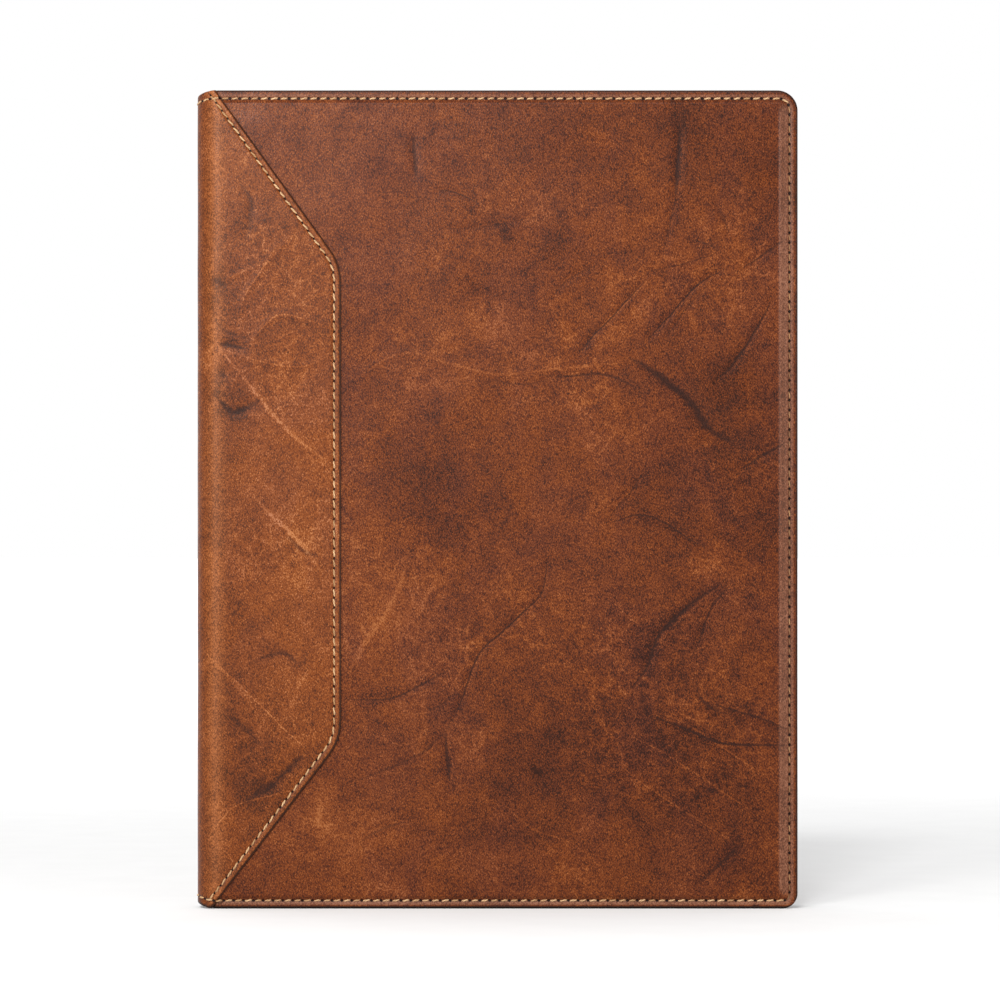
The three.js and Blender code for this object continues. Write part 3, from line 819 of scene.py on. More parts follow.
# How much each field of the leather adds to its lightness, around the middle level
BLOTCHES = {"clouds": 0.28, "patches": 0.78, "flecks": 0.42, "grain": 1.50, "pebbles": -0.62}
MIDDLE_LEVEL = 0.47
PANEL_STOPS = [
    (0.00, 0.020, 0.005, 0.002),
    (0.28, 0.066, 0.014, 0.004),
    (0.50, 0.112, 0.025, 0.005),
    (0.75, 0.175, 0.043, 0.008),
    (1.00, 0.265, 0.088, 0.026),
]
WRAP_STOPS = [
    (0.00, 0.030, 0.008, 0.002),
    (0.28, 0.092, 0.021, 0.004),
    (0.50, 0.142, 0.033, 0.005),
    (0.76, 0.212, 0.056, 0.010),
    (1.00, 0.345, 0.130, 0.045),
]
SUEDE_STOPS = [
    (0.30, 0.030, 0.014, 0.008),
    (0.52, 0.060, 0.028, 0.016),
    (0.75, 0.100, 0.050, 0.030),
]
INSIDE_STOPS = [
    (0.00, 0.030, 0.010, 0.005),
    (0.35, 0.070, 0.022, 0.010),
    (0.55, 0.110, 0.035, 0.015),
    (1.00, 0.180, 0.070, 0.032),
]


class Tree:
    """A short way to write the nodes of a material or of the world."""

    def __init__(self, owner, shader="Principled BSDF"):
        owner.use_nodes = True
        self.owner = owner
        self.tree = owner.node_tree
        self.shader = self.tree.nodes[shader]

    def add(self, kind, inputs=None, **settings):
        node = self.tree.nodes.new("ShaderNode" + kind)
        for key, value in settings.items():
            setattr(node, key, value)
        for key, value in (inputs or {}).items():
            if isinstance(value, bpy.types.NodeSocket):
                self.tree.links.new(value, node.inputs[key])
            else:
                node.inputs[key].default_value = value
        return node

    def set(self, **inputs):
        for key, value in inputs.items():
            socket = self.shader.inputs[key.replace("_", " ")]
            if isinstance(value, bpy.types.NodeSocket):
                self.tree.links.new(value, socket)
            else:
                socket.default_value = value

    def math(self, operation, a, b=0.0, clamp=False):
        return self.add("Math", {0: a, 1: b}, operation=operation, use_clamp=clamp).outputs[0]

    def mixed(self, *terms, start=0.0):
        """Start plus each value times its weight."""
        total = start
        for value, weight in terms:
            total = self.add("Math", {0: value, 1: weight, 2: total}, operation="MULTIPLY_ADD").outputs[0]
        return total

    def attribute(self, name, output="Fac"):
        return self.add("Attribute", attribute_name=name).outputs[output]

    def noise(self, vector, scale, detail=3.0, roughness=0.55, distortion=0.0):
        inputs = {"Vector": vector, "Scale": scale, "Detail": detail, "Roughness": roughness,
                  "Distortion": distortion}
        return self.add("TexNoise", inputs).outputs["Fac"]

    def spread(self, value, low, high, to_low=0.0, to_high=1.0, kind="SMOOTHSTEP"):
        inputs = {"Value": value, "From Min": low, "From Max": high, "To Min": to_low, "To Max": to_high}
        return self.add("MapRange", inputs, interpolation_type=kind).outputs["Result"]

    def blend(self, factor, a, b, kind="MIX"):
        node = self.add("Mix", data_type="RGBA", blend_type=kind)
        for socket, value in zip((node.inputs[0], node.inputs[6], node.inputs[7]), (factor, a, b)):
            if isinstance(value, bpy.types.NodeSocket):
                self.tree.links.new(value, socket)
            else:
                socket.default_value = value
        return node.outputs[2]

    def ramp(self, factor, stops):
        """A colour from stops of (position, red, green, blue)."""
        node = self.add("ValToRGB", {"Fac": factor})
        elements = node.color_ramp.elements
        while len(elements) < len(stops):
            elements.new(0.5)
        for element, (position, *tint) in zip(elements, stops):
            element.position = position
            element.color = colour(*tint)
        return node.outputs["Color"]

    def bump(self, height, strength, distance, normal=None):
        inputs = {"Height": height, "Strength": strength, "Distance": distance}
        if normal is not None:
            inputs["Normal"] = normal
        return self.add("Bump", inputs).outputs["Normal"]


def colour(red, green, blue):
    return (red, green, blue, 1.0)


def leather_fields(m, at):
    """Noise for the dye's clouds, patches, flecks and ruddy places, and for the grain, which lies askew."""
    turned = {"Vector": at, "Rotation": (0.0, 0.0, math.radians(35)), "Scale": (1.0, 0.62, 1.0)}
    lie = m.add("Mapping", turned).outputs["Vector"]
    return {
        "clouds": m.noise(at, 0.022, 5.0, 0.6, 0.7),
        "patches": m.noise(at, 0.085, 5.0, 0.62, 0.5),
        "flecks": m.noise(at, 0.38, 4.0, 0.65),
        "grain": m.noise(lie, 2.6, 1.0, 0.8),
        "pebbles": m.add("TexVoronoi", {"Vector": lie, "Scale": 1.9}).outputs["Distance"],
        "ruddy": m.noise(lie, 0.03, 4.0, 0.6, 0.6),
    }


def leather_level(m, at, fields, sheen_wear_dye_and_shade, vein_line, shade_halo, lit_side):
    """How light the leather is, from 0 to 1: blotches, marks with painted shade round creases and a painted
    highlight beside them, networks of fine lines, and darkened edges of dark dye, painted shadow lines and
    the painted contact shadow at the foot.
    """
    ridges, hollows = network(m, at, 0.16, 0.8, m.attribute("crackle"), 0.25)
    terms = [(fields[key], weight) for key, weight in BLOTCHES.items()]
    terms += [
        (m.attribute("tone"), TONE_SHARE),
        (vein_line, 0.36),
        # Painted shade round the creases, and a painted highlight on their lifted side.
        (shade_halo, -0.13),
        (lit_side, 0.16),
        (network(m, at, 0.055, 1.6, fields["clouds"], 0.48)[0], 0.24),
        (network(m, at, 0.13, 1.6, fields["patches"], 0.52)[0], -0.20),
        (ridges, 0.19),
        (hollows, -0.08),
        (m.math("MINIMUM", sheen_wear_dye_and_shade, 0.0), 0.30),
    ]
    return m.mixed(*terms, start=MIDDLE_LEVEL - sum(BLOTCHES.values()) / 2)


def seam_painted_shade(m, shade):
    """Painted shade: the colour darkened in the groove along a seam and near black in the stitch holes, and
    where the holes are.
    """
    seam = m.add("SeparateXYZ", {"Vector": m.attribute("seam_at", "Vector")})
    along = m.math("MULTIPLY", m.math("PINGPONG", seam.outputs["X"], 0.5), STITCH_PITCH)
    across = m.math("ABSOLUTE", seam.outputs["Y"])
    distance = m.math("SQRT", m.math("ADD", m.math("POWER", along, 2.0), m.math("POWER", across, 2.0)))
    hole = m.spread(distance, HOLE_RADIUS - 0.1, HOLE_RADIUS + 0.12, 1.0, 0.0)
    # Painted shade in the seam's groove, and near black in the stitch holes.
    groove = m.spread(across, 0.2, 0.9, 0.38, 0.0)
    groove_shaded = m.blend(groove, shade, colour(0.04, 0.014, 0.008))
    return m.blend(hole, groove_shaded, colour(0.004, 0.002, 0.002)), hole


def leather_material(name, stops, sheen_and_wear_colour):
    """Pull-up leather: blotches and a pebbled grain; painted shade in creases, seam grooves and stitch
    holes; dark dyed edges; a painted contact shadow along the foot; and a paler colour of painted sheen and
    wear along the edges and the spine's round.
    """
    m = Tree(bpy.data.materials.new(name))
    at = m.attribute("skin_at", "Vector")
    sheen_wear_dye_and_shade = m.attribute("sheen_wear_dye_and_shade")
    fields = leather_fields(m, at)
    ragged = m.math("MULTIPLY", m.math("SUBTRACT", fields["flecks"], 0.5), 1.6)
    vein_line, _, _ = marked_line(m, "vein_at", ragged)
    crease_shade_line, shade_halo, lit_side = marked_line(m, "crease_at", ragged)
    level = leather_level(m, at, fields, sheen_wear_dye_and_shade, vein_line, shade_halo, lit_side)

    ruddy = m.spread(fields["ruddy"], 0.44, 0.62, 0.0, 0.65)
    dyed = m.blend(ruddy, m.ramp(level, stops), colour(0.93, 0.97, 1.45), "MULTIPLY")
    # Painted sheen with some wear: where the attribute is above zero, the colour moves towards a paler,
    # pinker one.
    sheen_and_wear_reach = m.spread(sheen_wear_dye_and_shade, 0.0, 1.2, kind="LINEAR")
    wear_and_painted_light = m.math("MULTIPLY", sheen_and_wear_reach, m.spread(level, 0.2, 0.8, 0.3, 0.9))
    base = m.blend(wear_and_painted_light, dyed, sheen_and_wear_colour)
    # Painted shade in the creases: each crease line is darkened towards near black.
    creased = m.blend(m.math("MULTIPLY", crease_shade_line, 0.80), base, colour(0.018, 0.006, 0.004))
    # Dark edge dye on cut edges, with a painted shadow line along the spine cover's edge.
    rim_dyed_and_shaded = m.blend(m.spread(sheen_wear_dye_and_shade, -0.9, -0.2, 0.8, 0.0), creased, colour(0.030, 0.012, 0.007))
    # Painted contact shadow along the foot: near black where the attribute falls below -1.5.
    foot_shadowed = m.blend(m.spread(sheen_wear_dye_and_shade, -2.5, -1.5, 1.0, 0.0), rim_dyed_and_shaded, colour(0.006, 0.003, 0.002))
    shade, hole = seam_painted_shade(m, foot_shadowed)

    relief = m.mixed((fields["grain"], 0.6), (fields["pebbles"], 0.5))
    rough = m.mixed((fields["patches"], -0.25), (fields["grain"], 0.25))
    m.set(Base_Color=shade, Normal=m.bump(hole, 1.0, -0.0005, m.bump(relief, 0.22, 0.00025)),
          Specular_IOR_Level=0.13, Roughness=m.math("ADD", rough, 0.36, clamp=True))
    return m.owner


def marked_line(m, name, ragged):
    """A mark: its thin line, the soft painted shade around it, and the painted highlight on the lifted edge
    along one side.
    """
    mark = m.add("SeparateXYZ", {"Vector": m.attribute(name, "Vector")})
    side, amount, distance = (mark.outputs[axis] for axis in "XYZ")
    wavy = m.math("ADD", side, m.math("MULTIPLY", ragged, 0.8))
    close = m.math("MULTIPLY", m.spread(distance, 1.6, 2.6, 1.0, 0.0), amount)
    line = m.math("MULTIPLY", m.spread(m.math("ABSOLUTE", wavy), 0.15, 1.05, 1.0, 0.0), close)
    shade_halo = m.math("MULTIPLY", m.spread(m.math("ADD", distance, ragged), 0.0, 4.2, 1.0, 0.0), amount)
    beside = m.math("ABSOLUTE", m.math("SUBTRACT", wavy, 1.7))
    lit_side = m.math("MULTIPLY", m.spread(beside, 0.0, 0.8, 1.0, 0.0), close)
    return line, shade_halo, lit_side


def network(m, at, scale, warp_share, mask, threshold):
    """Fine branching lines and the hollows between them, only where the mask is above the threshold."""
    warp = m.add("TexNoise", {"Vector": at, "Scale": scale * 1.7, "Detail": 4.0, "Roughness": 0.6})
    centre = (0.5, 0.5, 0.5)
    bend = m.add("VectorMath", {0: warp.outputs["Color"], 1: centre}, operation="SUBTRACT").outputs[0]
    shift = m.add("VectorMath", {0: bend, "Scale": warp_share / scale}, operation="SCALE").outputs[0]
    bent = m.add("VectorMath", {0: at, 1: shift}, operation="ADD").outputs[0]
    cells = m.add("TexVoronoi", {"Vector": bent, "Scale": scale}, feature="DISTANCE_TO_EDGE")
    line = m.spread(cells.outputs["Distance"], 0.0, 0.055, 1.0, 0.0)
    hollow = m.spread(cells.outputs["Distance"], 0.08, 0.32)
    shown = m.spread(mask, threshold, threshold + 0.12)
    return m.math("MULTIPLY", line, shown), m.math("MULTIPLY", hollow, shown)


def cut_edge_material():
    """Cut edge of the leather, dyed dark and burnished, with faint layers."""
    m = Tree(bpy.data.materials.new("burnished_edge"))
    at = m.attribute("skin_at", "Vector")
    fibre = m.noise(at, 0.6, 4.0, 0.6)
    fine = m.noise(at, 2.5, 2.0)
    base = m.ramp(m.mixed((fibre, 0.7), (fine, 0.3)), [
        (0.3, 0.020, 0.009, 0.006), (0.7, 0.065, 0.026, 0.014)])
    m.set(Base_Color=base, Normal=m.bump(fibre, 0.3, 0.0003), Specular_IOR_Level=0.12,
          Roughness=m.spread(fine, 0.3, 0.7, 0.5, 0.7))
    return m.owner


def thread_material():
    """Waxed tan thread: painted shade in the twist between its plies, each stitch a little different."""
    m = Tree(bpy.data.materials.new("waxed_thread"))
    tint = m.attribute("tint")
    twist = m.attribute("twist")
    position = m.add("TexCoord").outputs["Object"]
    fibre = m.noise(position, 5200.0, 2.0)
    level = m.mixed((tint, 0.45), (fibre, 0.55))
    base = m.ramp(level, [(0.0, 0.17, 0.078, 0.032), (0.25, 0.34, 0.180, 0.075),
                          (0.8, 0.66, 0.430, 0.230)])
    # Painted shade in the grooves between the plies.
    plies = m.spread(twist, -1.0, 0.2, 0.55, 0.0)
    shade = m.blend(plies, base, colour(0.16, 0.075, 0.03))
    m.set(Base_Color=shade, Normal=m.bump(fibre, 0.5, 0.0001), Specular_IOR_Level=0.3,
          Roughness=m.spread(fibre, 0.3, 0.7, 0.5, 0.75))
    return m.owner


panel_leather = leather_material("panel_leather", PANEL_STOPS, colour(0.225, 0.102, 0.062))
wrap_leather = leather_material("spine_leather", WRAP_STOPS, colour(0.420, 0.150, 0.050))
burnished_edge = cut_edge_material()
thread = thread_material()


# ---------------------------------------------------------------- outside of the cover

def add_outside():
    """Leather of both covers and of the spine, whose cover is one piece made of two halves."""
    for side, name in SIDES:
        add_panel(side, name)
    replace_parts(add_spine_cover(FRONT, "front"), "spine_cover_front", "spine_cover_middle")
    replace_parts(add_spine_cover(BACK, "back"), "spine_cover_back")


def add_edge_stitches(side, name):
    """The seam along a cover's three outer edges, and its two ends over the spine."""
    path = perimeter(SEAM_INSET)
    length = path_length(path)
    on_panel = FOLD_S + 0.2
    row = stitch_row(f"{name}_edge_stitches", path, side, panel_surface,
                     first=on_panel, last=length - on_panel, seed=11 + side)
    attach(row, name)
    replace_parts(row, f"{name}_edge_stitching")
    top = stitch_row(f"spine_top_{name}_stitches", path, side, wrap_surface,
                     last=on_panel + 1.0, seed=31 + side)
    bottom = stitch_row(f"spine_bottom_{name}_stitches", path, side, wrap_surface,
                        first=length - on_panel - 1.0, seed=41 + side)
    for end_row in (top, bottom):
        bend_with_spine(end_row)
    return top, bottom


def add_lap_stitches(side, name):
    """The seam along the spine cover's shaped edge."""
    row = stitch_row(f"spine_cover_{name}_stitches", wrap_edge(WRAP_SEAM_INSET), side, wrap_surface,
                     first=4.0, seed=21 + side, fill=LAP_FILL)
    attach(row, name)
    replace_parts(row, f"spine_cover_{name}_stitching")


add_outside()
top_row, bottom_row = add_edge_stitches(FRONT, "front")
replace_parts(top_row, "spine_stitching_top")
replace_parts(bottom_row, "spine_stitching_bottom")
add_edge_stitches(BACK, "back")
for cover_side, cover_name in SIDES:
    add_lap_stitches(cover_side, cover_name)


# ---------------------------------------------------------------- inside of the cover

def suede_material():
    """A dull fibrous lining: two scales of noise in colour and relief."""
    m = Tree(bpy.data.materials.new("suede_lining"))
    at = m.attribute("skin_at", "Vector")
    wide = m.noise(at, 0.108, 4.0, 0.6)
    fine = m.noise(at, 0.9, 3.0, 0.7)
    base = m.ramp(m.mixed((wide, 0.45), (fine, 0.55)), SUEDE_STOPS)
    m.set(Base_Color=base, Normal=m.bump(fine, 0.5, 0.0004), Roughness=m.spread(fine, 0.3, 0.7, 0.84, 0.96),
          Specular_IOR_Level=0.15, Sheen_Weight=0.25, Sheen_Roughness=0.5)
    return m.owner


def block_material(name, stops, scale, roughness, bump, stretch=(1.0, 1.0, 1.0)):
    """Board, card or cloth on a rigid piece, with noise stretched along the piece's own directions."""
    m = Tree(bpy.data.materials.new(name))
    at = m.add("TexCoord").outputs["Object"]
    stretched = m.add("Mapping", {"Vector": at, "Scale": stretch}).outputs["Vector"]
    wide = m.noise(stretched, scale * 0.1, 3.0)
    fine = m.noise(stretched, scale, 4.0, 0.7)
    level = m.mixed((wide, 0.4), (fine, 0.6))
    m.set(Base_Color=m.ramp(level, stops), Normal=m.bump(fine, bump, 0.0003), Specular_IOR_Level=0.2,
          Roughness=m.spread(fine, 0.3, 0.7, roughness - 0.06, roughness + 0.06))
    return m.owner


def paper_material():
    """Writing paper: ruled lines on its face, and on its edges fine dark lines of painted shade between the
    stacked sheets.
    """
    m = Tree(bpy.data.materials.new("ruled_paper"))
    at = m.add("TexCoord").outputs["Object"]
    place_at = m.add("SeparateXYZ", {"Vector": at})
    fibre = m.noise(at, 900.0, 3.0)
    base = m.ramp(fibre, [(0.3, 0.47, 0.445, 0.385), (0.7, 0.52, 0.495, 0.43)])
    level = m.math("PINGPONG", place_at.outputs["Z"], RULE_PITCH / 2)
    rule = m.spread(level, RULE_WIDTH * 0.5, RULE_WIDTH * 0.9, 1.0, 0.0)
    body = m.math("LESS_THAN", place_at.outputs["Z"], RULES_END)
    face = m.math("MULTIPLY", m.attribute("sheet_face"), m.math("MULTIPLY", rule, body))
    ruled = m.blend(m.math("MULTIPLY", face, 0.85), base, colour(0.16, 0.22, 0.33))
    sheets = m.add("Mapping", {"Vector": at, "Scale": (6.0, 5200.0, 6.0)}).outputs["Vector"]
    leaf = m.noise(sheets, 1.0, 2.0, 0.8)
    # Painted shade between the stacked sheets on the edges.
    off_face = m.math("SUBTRACT", 1.0, m.attribute("sheet_face"))
    edge = m.math("MULTIPLY", off_face, m.spread(leaf, 0.42, 0.6, 1.0, 0.0))
    m.set(Base_Color=m.blend(m.math("MULTIPLY", edge, 0.5), ruled, colour(0.36, 0.33, 0.27)),
          Normal=m.bump(leaf, 0.2, 0.0001), Roughness=m.spread(fibre, 0.3, 0.7, 0.8, 0.92),
          Specular_IOR_Level=0.15)
    return m.owner


suede = suede_material()
inside_leather = leather_material("inside_leather", INSIDE_STOPS, colour(0.150, 0.060, 0.030))
board = block_material("bookbinding_board", [
    (0.3, 0.20, 0.17, 0.13), (0.7, 0.33, 0.29, 0.23)], 900.0, 0.85, 0.4)
chip_card = block_material("chip_card", [
    (0.3, 0.27, 0.22, 0.15), (0.7, 0.42, 0.36, 0.27)], 1100.0, 0.85, 0.4)
binding_cloth = block_material("binding_cloth", [
    (0.3, 0.018, 0.011, 0.008), (0.7, 0.065, 0.042, 0.030)],
    1500.0, 0.7, 0.9, (1.0, 1.0, 0.35))
ruled_paper = paper_material()


def border_rise(s, z):
    """How far the lining lifts outwards along the edges, where it is sewn to the outer leather."""
    side_gap, end_gap = free_edge_distance(s, z)
    return 1.15 * np.maximum(1 - smooth(side_gap, 4.3, 7.0), 1 - smooth(end_gap, 4.3, 7.0))


def inside_rows(low, high):
    """Grid lines of a piece inside the cover: finer at its two ends."""
    low_end = steps_between(low, low + FINE_BAND, INSIDE_FINE_GRID)
    middle = steps_between(low + FINE_BAND, high - FINE_BAND, INSIDE_GRID)
    high_end = steps_between(high - FINE_BAND, high, INSIDE_FINE_GRID)
    return np.concatenate([low_end[:-1], middle[:-1], high_end])


def nearest_seam(paths, s, z):
    """Seam coordinates of whichever seam is nearest at each point."""
    vectors = np.stack([seam_coordinates(path, s, z) for path in paths])
    nearest = np.argmin(np.abs(vectors[..., 1]), axis=0)
    return np.take_along_axis(vectors, nearest[None, ..., None], axis=0)[0]


def round_low_corner(s, z):
    """Rounds only the free corner at the foot, for layers that stop below the head."""
    rounded_s, rounded_z = round_corners(s, np.minimum(z, HEIGHT / 2 - 1))
    low = z < HEIGHT / 2 - 1
    return np.where(low, rounded_s, s), np.where(low, rounded_z, z)


def inside_sheet(name, side, low, high, inset, thickness, materials, seams, gape=0.0, sewn=True):
    """A layer inside a cover, between two corners (s, z), with its face inset below the spine cover's face.

    Its top edge gapes a little in the middle, and where it is sewn to the cover's edges it rises to them.
    """
    s, z = np.meshgrid(inside_rows(low[0], high[0]), inside_rows(low[1], high[1]))
    if high[0] > FREE_S - 1:
        s, z = round_corners(s, z) if high[1] > HEIGHT - 1 else round_low_corner(s, z)
    from_top = high[1] - z
    opening = gape * bump_at(from_top, 14.0) * np.sin(math.pi * (s - low[0]) / (high[0] - low[0]))
    swell = 0.10 * noise_field(s, z, 30.0, 5.0 + inset, 2)
    lift = swell - opening + (border_rise(s, z) if sewn else 0.0)
    seam = nearest_seam(seams, s, z)
    pressed = 0.15 * bump_at(seam[..., 1], 0.6) + 0.2 * np.clip(1 - from_top / 0.8, 0, 1) ** 2
    marks = {
        "seam_at": seam,
        "tone": 0.5 * noise_field(s, z, 40.0, inset, 3),
        "sheen_wear_dye_and_shade": -(1 - smooth(from_top, 0.1, 0.8)),
    }
    face = place(side * s, z, inset, lift + pressed)
    under = place(side * s, z, inset - thickness, lift)
    return skin(name, side * s, z, face, under, materials, marks)


def inner_inset(side, node):
    """How far the face of a layer inside a cover lies below the spine cover's face."""
    low, high = node_box(node)
    return HALF_DEPTH + high[1] if side == FRONT else HALF_DEPTH - low[1]


def edge_seam_surface(side):
    """The face under the edge seam's stitches inside a cover: a pocket's below, the lining's above."""
    node = "document_pocket" if side == FRONT else "pad_sleeve"
    top = node_box(node)[1][2]

    def surface(s, z):
        inset = np.where(z < top, inner_inset(side, node), LINING_INSET + LINING)
        return -inset + border_rise(s, z)
    return surface


def add_lining(side, name):
    """Suede over one cover's inside, and the edge seam's stitches as they show there."""
    path = perimeter(SEAM_INSET)
    clear = FOLD_S + 4
    lining = inside_sheet(f"{name}_suede", side, (s_of_x(lining_low[0]), 0.0), (FREE_S, HEIGHT),
                          LINING_INSET + LINING, LINING, [suede, burnished_edge], [path])
    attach(lining, name)
    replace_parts(lining, f"{name}_lining")
    row = stitch_row(f"{name}_inner_stitches", path, side, edge_seam_surface(side),
                     first=clear, last=path_length(path) - clear, seed=51 + side, facing=-1)
    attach(row, name)


def add_spine_lining(side, name):
    """Half of the lining's strip over the spine: the halves meet in the middle."""
    s, z = np.meshgrid(steps_between(0, FOLD_S + 5.0, 0.5), inside_rows(0.0, HEIGHT))
    over = smooth(s, 6.0, FOLD_S - 2.0)
    shown = smooth(s, 0.5, 4.0) * (1 - smooth(s, 12, 18))
    creased = 0.22 * noise_field(side * s * 6.0, z, 42.0, 3.3, 2) * shown
    end_gap = np.minimum(z, HEIGHT - z)
    lift = creased + 0.5 * (1 - smooth(end_gap, 1.0, 6.0)) + border_rise(s, z) * over
    inset = LINING_INSET + (LINING + 0.05) * over
    face = place(side * s, z, inset + LINING, lift)
    under = place(side * s, z, inset, lift)
    strip = skin(f"spine_suede_{name}", side * s, z, face, under, [suede, burnished_edge])
    bend_with_spine(strip)
    return strip


def add_inner_row(name, side, body, path, inset, seed, sewn=True):
    """Stitches on a layer inside a cover."""
    def surface(s, z):
        return -inset + (border_rise(s, z) if sewn else 0.0)
    row = stitch_row(name, path, side, surface, seed=seed, facing=-1)
    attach(row, body)
    return row


def add_edge_pocket(node, side, body, gape, seed):
    """A pocket over the lower part of a cover's inside, with seams along its top and its spine side."""
    low, high = node_box(node)
    left, top, inset = s_of_x(low[0]), high[2], inner_inset(side, node)
    corner = (left + SEAM_INSET, top - SEAM_INSET)
    top_path = np.array([corner, (FREE_S - SEAM_INSET, top - SEAM_INSET)])
    left_path = np.array([(left + SEAM_INSET, SEAM_INSET), corner])
    seams = [top_path, left_path, perimeter(SEAM_INSET)]
    pocket = inside_sheet(f"{node}_leather", side, (left, 0.0), (FREE_S, top), inset, POCKET_LEATHER,
                          [inside_leather, burnished_edge], seams, gape)
    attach(pocket, body)
    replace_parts(pocket, node)
    top_row = add_inner_row(f"{node}_top_row", side, body, top_path, inset, seed)
    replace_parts(top_row, f"{node}_stitching")
    add_inner_row(f"{node}_left_row", side, body, left_path, inset, seed + 1)


def card_pocket_path(node):
    """The seam round a card pocket, open at the top."""
    low, high = node_box(node)
    left, right = s_of_x(low[0]) + CARD_SEAM_INSET, s_of_x(high[0]) - CARD_SEAM_INSET
    foot, top = low[2] + CARD_SEAM_INSET, high[2] - 0.5
    return np.array([(left, top), (left, foot), (right, foot), (right, top)])


def add_card_pocket(node):
    low, high = node_box(node)
    foot, top = (s_of_x(low[0]), low[2]), (s_of_x(high[0]), high[2])
    piece = inside_sheet(f"{node}_leather", FRONT, foot, top, inner_inset(FRONT, node), CARD_LEATHER,
                         [inside_leather, burnished_edge], [card_pocket_path(node)], gape=0.25, sewn=False)
    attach(piece, "front")
    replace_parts(piece, node)


def add_card_pockets():
    """Card pockets on the document pocket, each nearer and lower than the last."""
    nodes = ["card_pocket_1", "card_pocket_2", "card_pocket_3"]
    for node in nodes:
        add_card_pocket(node)
    for seed, (node, nearer) in enumerate(zip(nodes, nodes[1:]), 73):
        path = card_pocket_path(node)
        path[[1, 2], 1] = node_box(nearer)[1][2]
        inset = inner_inset(FRONT, node)
        add_inner_row(f"{node}_left_row", FRONT, "front", path[:2], inset, seed, False)
        add_inner_row(f"{node}_right_row", FRONT, "front", path[:1:-1], inset, seed, False)
    nearest = nodes[-1]
    row = add_inner_row("card_pocket_row", FRONT, "front", card_pocket_path(nearest),
                        inner_inset(FRONT, nearest), 71, False)
    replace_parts(row, "card_pocket_stitching")


def add_pen_loop():
    """A strap folded round into a loop, its two ends stacked on the lining."""
    low, high = node_box("pen_loop")
    radius = (high[0] - low[0]) / 2
    middle_x, middle_y = low[0] + radius, low[1] + radius
    angle, z = np.meshgrid(np.radians(np.linspace(70, -275, 60)), steps_between(low[2], high[2], 1.0))
    rolled = 0.1 * (bump_at(z - low[2], 0.6) + bump_at(z - high[2], 0.6))

    def ring(r):
        return np.stack([middle_x + r * np.cos(angle), middle_y + r * np.sin(angle), z], axis=-1)
    inner = ring(np.full_like(z, radius - PEN_LOOP_WALL))
    loop = skin("pen_loop_leather", PEN_LOOP_PATTERN - radius * angle, z, ring(radius - rolled), inner,
                [inside_leather, burnished_edge])
    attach(loop, "back")
    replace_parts(loop, "pen_loop")


def add_pad():
    """Sheets glued at the head: a stack of thin blocks, a little uneven at the foot and the sides."""
    low, high = node_box("pad_sheets")
    rng = np.random.default_rng(5)
    levels = np.linspace(low[1], high[1], LEAF_BLOCKS + 1)
    verts, faces = [], []
    for near, far in zip(levels, levels[1:]):
        left, right = low[0] + rng.uniform(0, LEAF_JITTER), high[0] - rng.uniform(0, LEAF_JITTER)
        foot = low[2] + rng.uniform(0, LEAF_JITTER)
        faces += [[len(verts) + corner for corner in quad] for quad in BLOCK_QUADS]
        for y in (near + LEAF_GAP, far - LEAF_GAP):
            verts += [(left, y, foot), (right, y, foot), (right, y, high[2]), (left, y, high[2])]
    pad = make_object("pad_leaves", np.array(verts), faces, [ruled_paper])
    on_face = [1.0, 1.0] + [0.0] * (len(BLOCK_QUADS) - 2)
    set_attribute(pad, "sheet_face", on_face * LEAF_BLOCKS, "FACE")
    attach(pad, "pad")
    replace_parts(pad, "pad_sheets")


def dress_nodes():
    """Materials for the pieces whose plain solids are already right."""
    looks = {"front_board": board, "back_board": board, "spine_stiffener": board,
             "pad_card": chip_card, "pad_binding": binding_cloth}
    for name, material in looks.items():
        node = bpy.data.objects[name]
        node.data.materials.clear()
        node.data.materials.append(material)


for cover_side, cover_name in SIDES:
    add_lining(cover_side, cover_name)
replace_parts(add_spine_lining(FRONT, "front"), "spine_lining")
add_spine_lining(BACK, "back")
add_edge_pocket("document_pocket", FRONT, "front", 0.35, 61)
add_edge_pocket("pad_sleeve", BACK, "back", 0.1, 81)
add_card_pockets()
add_pen_loop()
add_pad()
dress_nodes()


# ---------------------------------------------------------------- room, light and camera

PIXELS_PER_METRE = 2560
CAMERA_DISTANCE = 2.0
SENSOR = 36.0
IMAGE_WIDTH = 1000
FOCUS = Vector((0.0011, -HALF_DEPTH * MM, 0.1598))
LAMP_AIM = Vector((0.0, 0.0, 0.16))
SUN_FROM = Vector((-0.24, -1.50, 1.12))
ROOM_BRIGHT_SIDE = (-0.45, 0.35, 0.82)
ROOM_DIM = 0.16
FLOOR_HALF = 12.0
FLOOR_GLOW = (0.15, 0.60)
SUN_ANGLE = math.radians(10)
SUN_STRENGTH = 1.3
# Softboxes: (place, size, power)
LAMPS = [
    (Vector((-0.24, -0.80, 0.47)), 0.20, 3.8),
    (Vector((-0.62, -1.15, 0.30)), 0.45, 3.2),
    (Vector((0.86, -0.78, 0.30)), 0.35, 1.8),
]


def stage_material():
    """Overexposed white paper: it glows a little, so that only the lamp's own shadow shows on it."""
    m = Tree(bpy.data.materials.new("white_paper"))
    at = m.add("TexCoord").outputs["Object"]
    speck = m.noise(at, 40.0, 3.0)
    far = m.add("VectorMath", {0: at}, operation="LENGTH").outputs["Value"]
    white = m.ramp(speck, [(0.3, 0.69, 0.69, 0.69), (0.7, 0.71, 0.71, 0.71)])
    m.set(Base_Color=white, Roughness=0.9, Specular_IOR_Level=0.1, Emission_Color=colour(1, 1, 1),
          Emission_Strength=m.spread(far, 0.3, 1.8, *FLOOR_GLOW))
    return m.owner


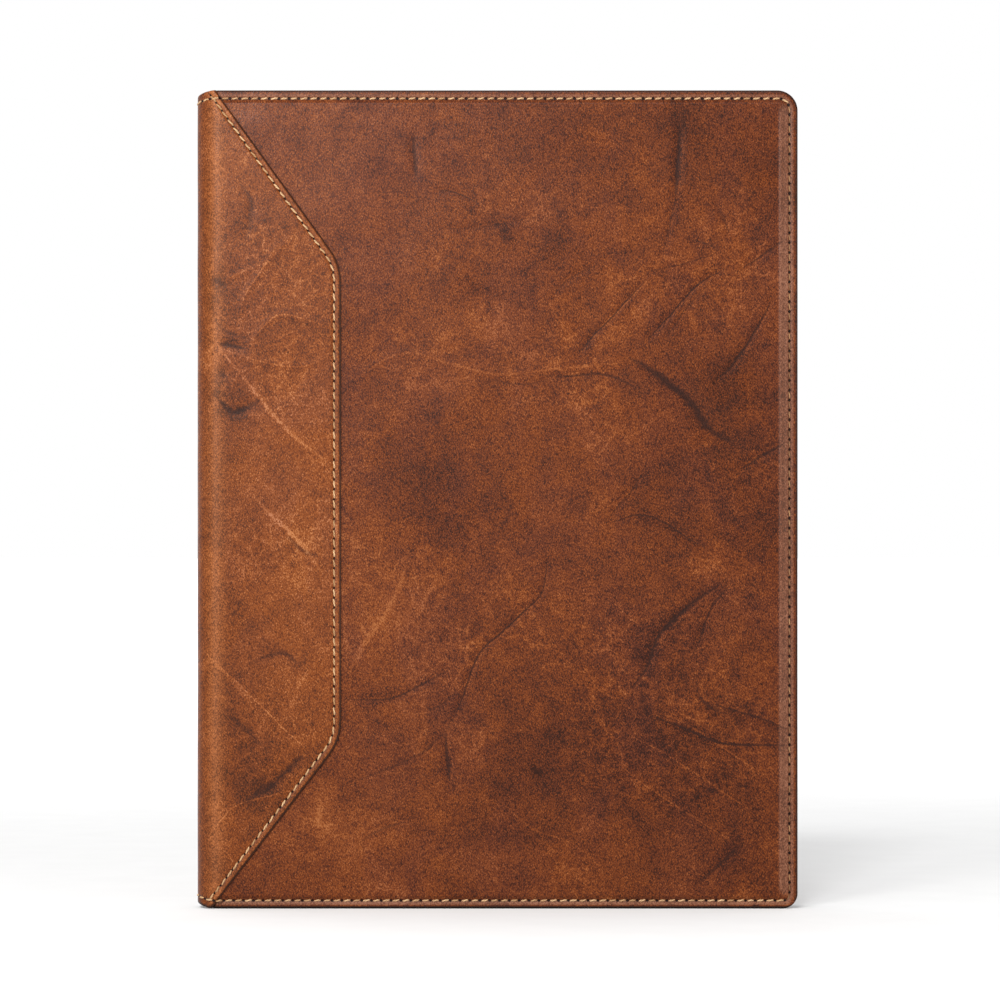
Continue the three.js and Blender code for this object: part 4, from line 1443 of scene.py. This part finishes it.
def add_stage():
    half = FLOOR_HALF
    mesh = bpy.data.meshes.new("floor")
    corners = [(-half, -half, 0), (half, -half, 0), (half, half, 0), (-half, half, 0)]
    mesh.from_pydata(corners, [], [(0, 1, 2, 3)])
    mesh.materials.append(stage_material())
    floor = bpy.data.objects.new("floor", mesh)
    bpy.context.scene.collection.objects.link(floor)


def add_world():
    """A white room to look at, which lights the object softly, most from the upper left."""
    m = Tree(bpy.data.worlds.new("studio"), "Background")
    direction = m.add("TexCoord").outputs["Generated"]
    toward = m.add("VectorMath", {0: direction, 1: ROOM_BRIGHT_SIDE}, operation="DOT_PRODUCT")
    soft = m.spread(toward.outputs["Value"], -0.6, 1.0, ROOM_DIM, 1.0)
    seen = m.add("LightPath").outputs["Is Camera Ray"]
    m.set(Color=colour(1.0, 1.0, 1.0), Strength=m.math("MAXIMUM", seen, soft))
    bpy.context.scene.world = m.owner


def add_sun():
    lamp = bpy.data.lights.new("key", "SUN")
    lamp.energy = SUN_STRENGTH
    lamp.angle = SUN_ANGLE
    sun = bpy.data.objects.new("key", lamp)
    sun.rotation_euler = (-SUN_FROM).to_track_quat("-Z", "Y").to_euler()
    bpy.context.scene.collection.objects.link(sun)


def add_lamps():
    for index, (place_at, size, power) in enumerate(LAMPS):
        lamp = bpy.data.lights.new(f"softbox_{index}", "AREA")
        lamp.shape = "SQUARE"
        lamp.size = size
        lamp.energy = power
        lamp.color = (1.0, 0.985, 0.96)
        softbox = bpy.data.objects.new(f"softbox_{index}", lamp)
        softbox.location = place_at
        softbox.rotation_euler = (LAMP_AIM - place_at).to_track_quat("-Z", "Y").to_euler()
        bpy.context.scene.collection.objects.link(softbox)


def add_camera():
    data = bpy.data.cameras.new("camera")
    data.sensor_width = SENSOR
    data.lens = PIXELS_PER_METRE * CAMERA_DISTANCE * SENSOR / IMAGE_WIDTH
    data.clip_end = 100
    camera = bpy.data.objects.new("camera", data)
    camera.location = FOCUS + Vector((0, -CAMERA_DISTANCE, 0))
    camera.rotation_euler = (math.pi / 2, 0, 0)
    bpy.context.scene.collection.objects.link(camera)
    bpy.context.scene.camera = camera
    bpy.context.scene.view_settings.view_transform = "Standard"


add_stage()
add_world()
add_sun()
add_lamps()
add_camera()
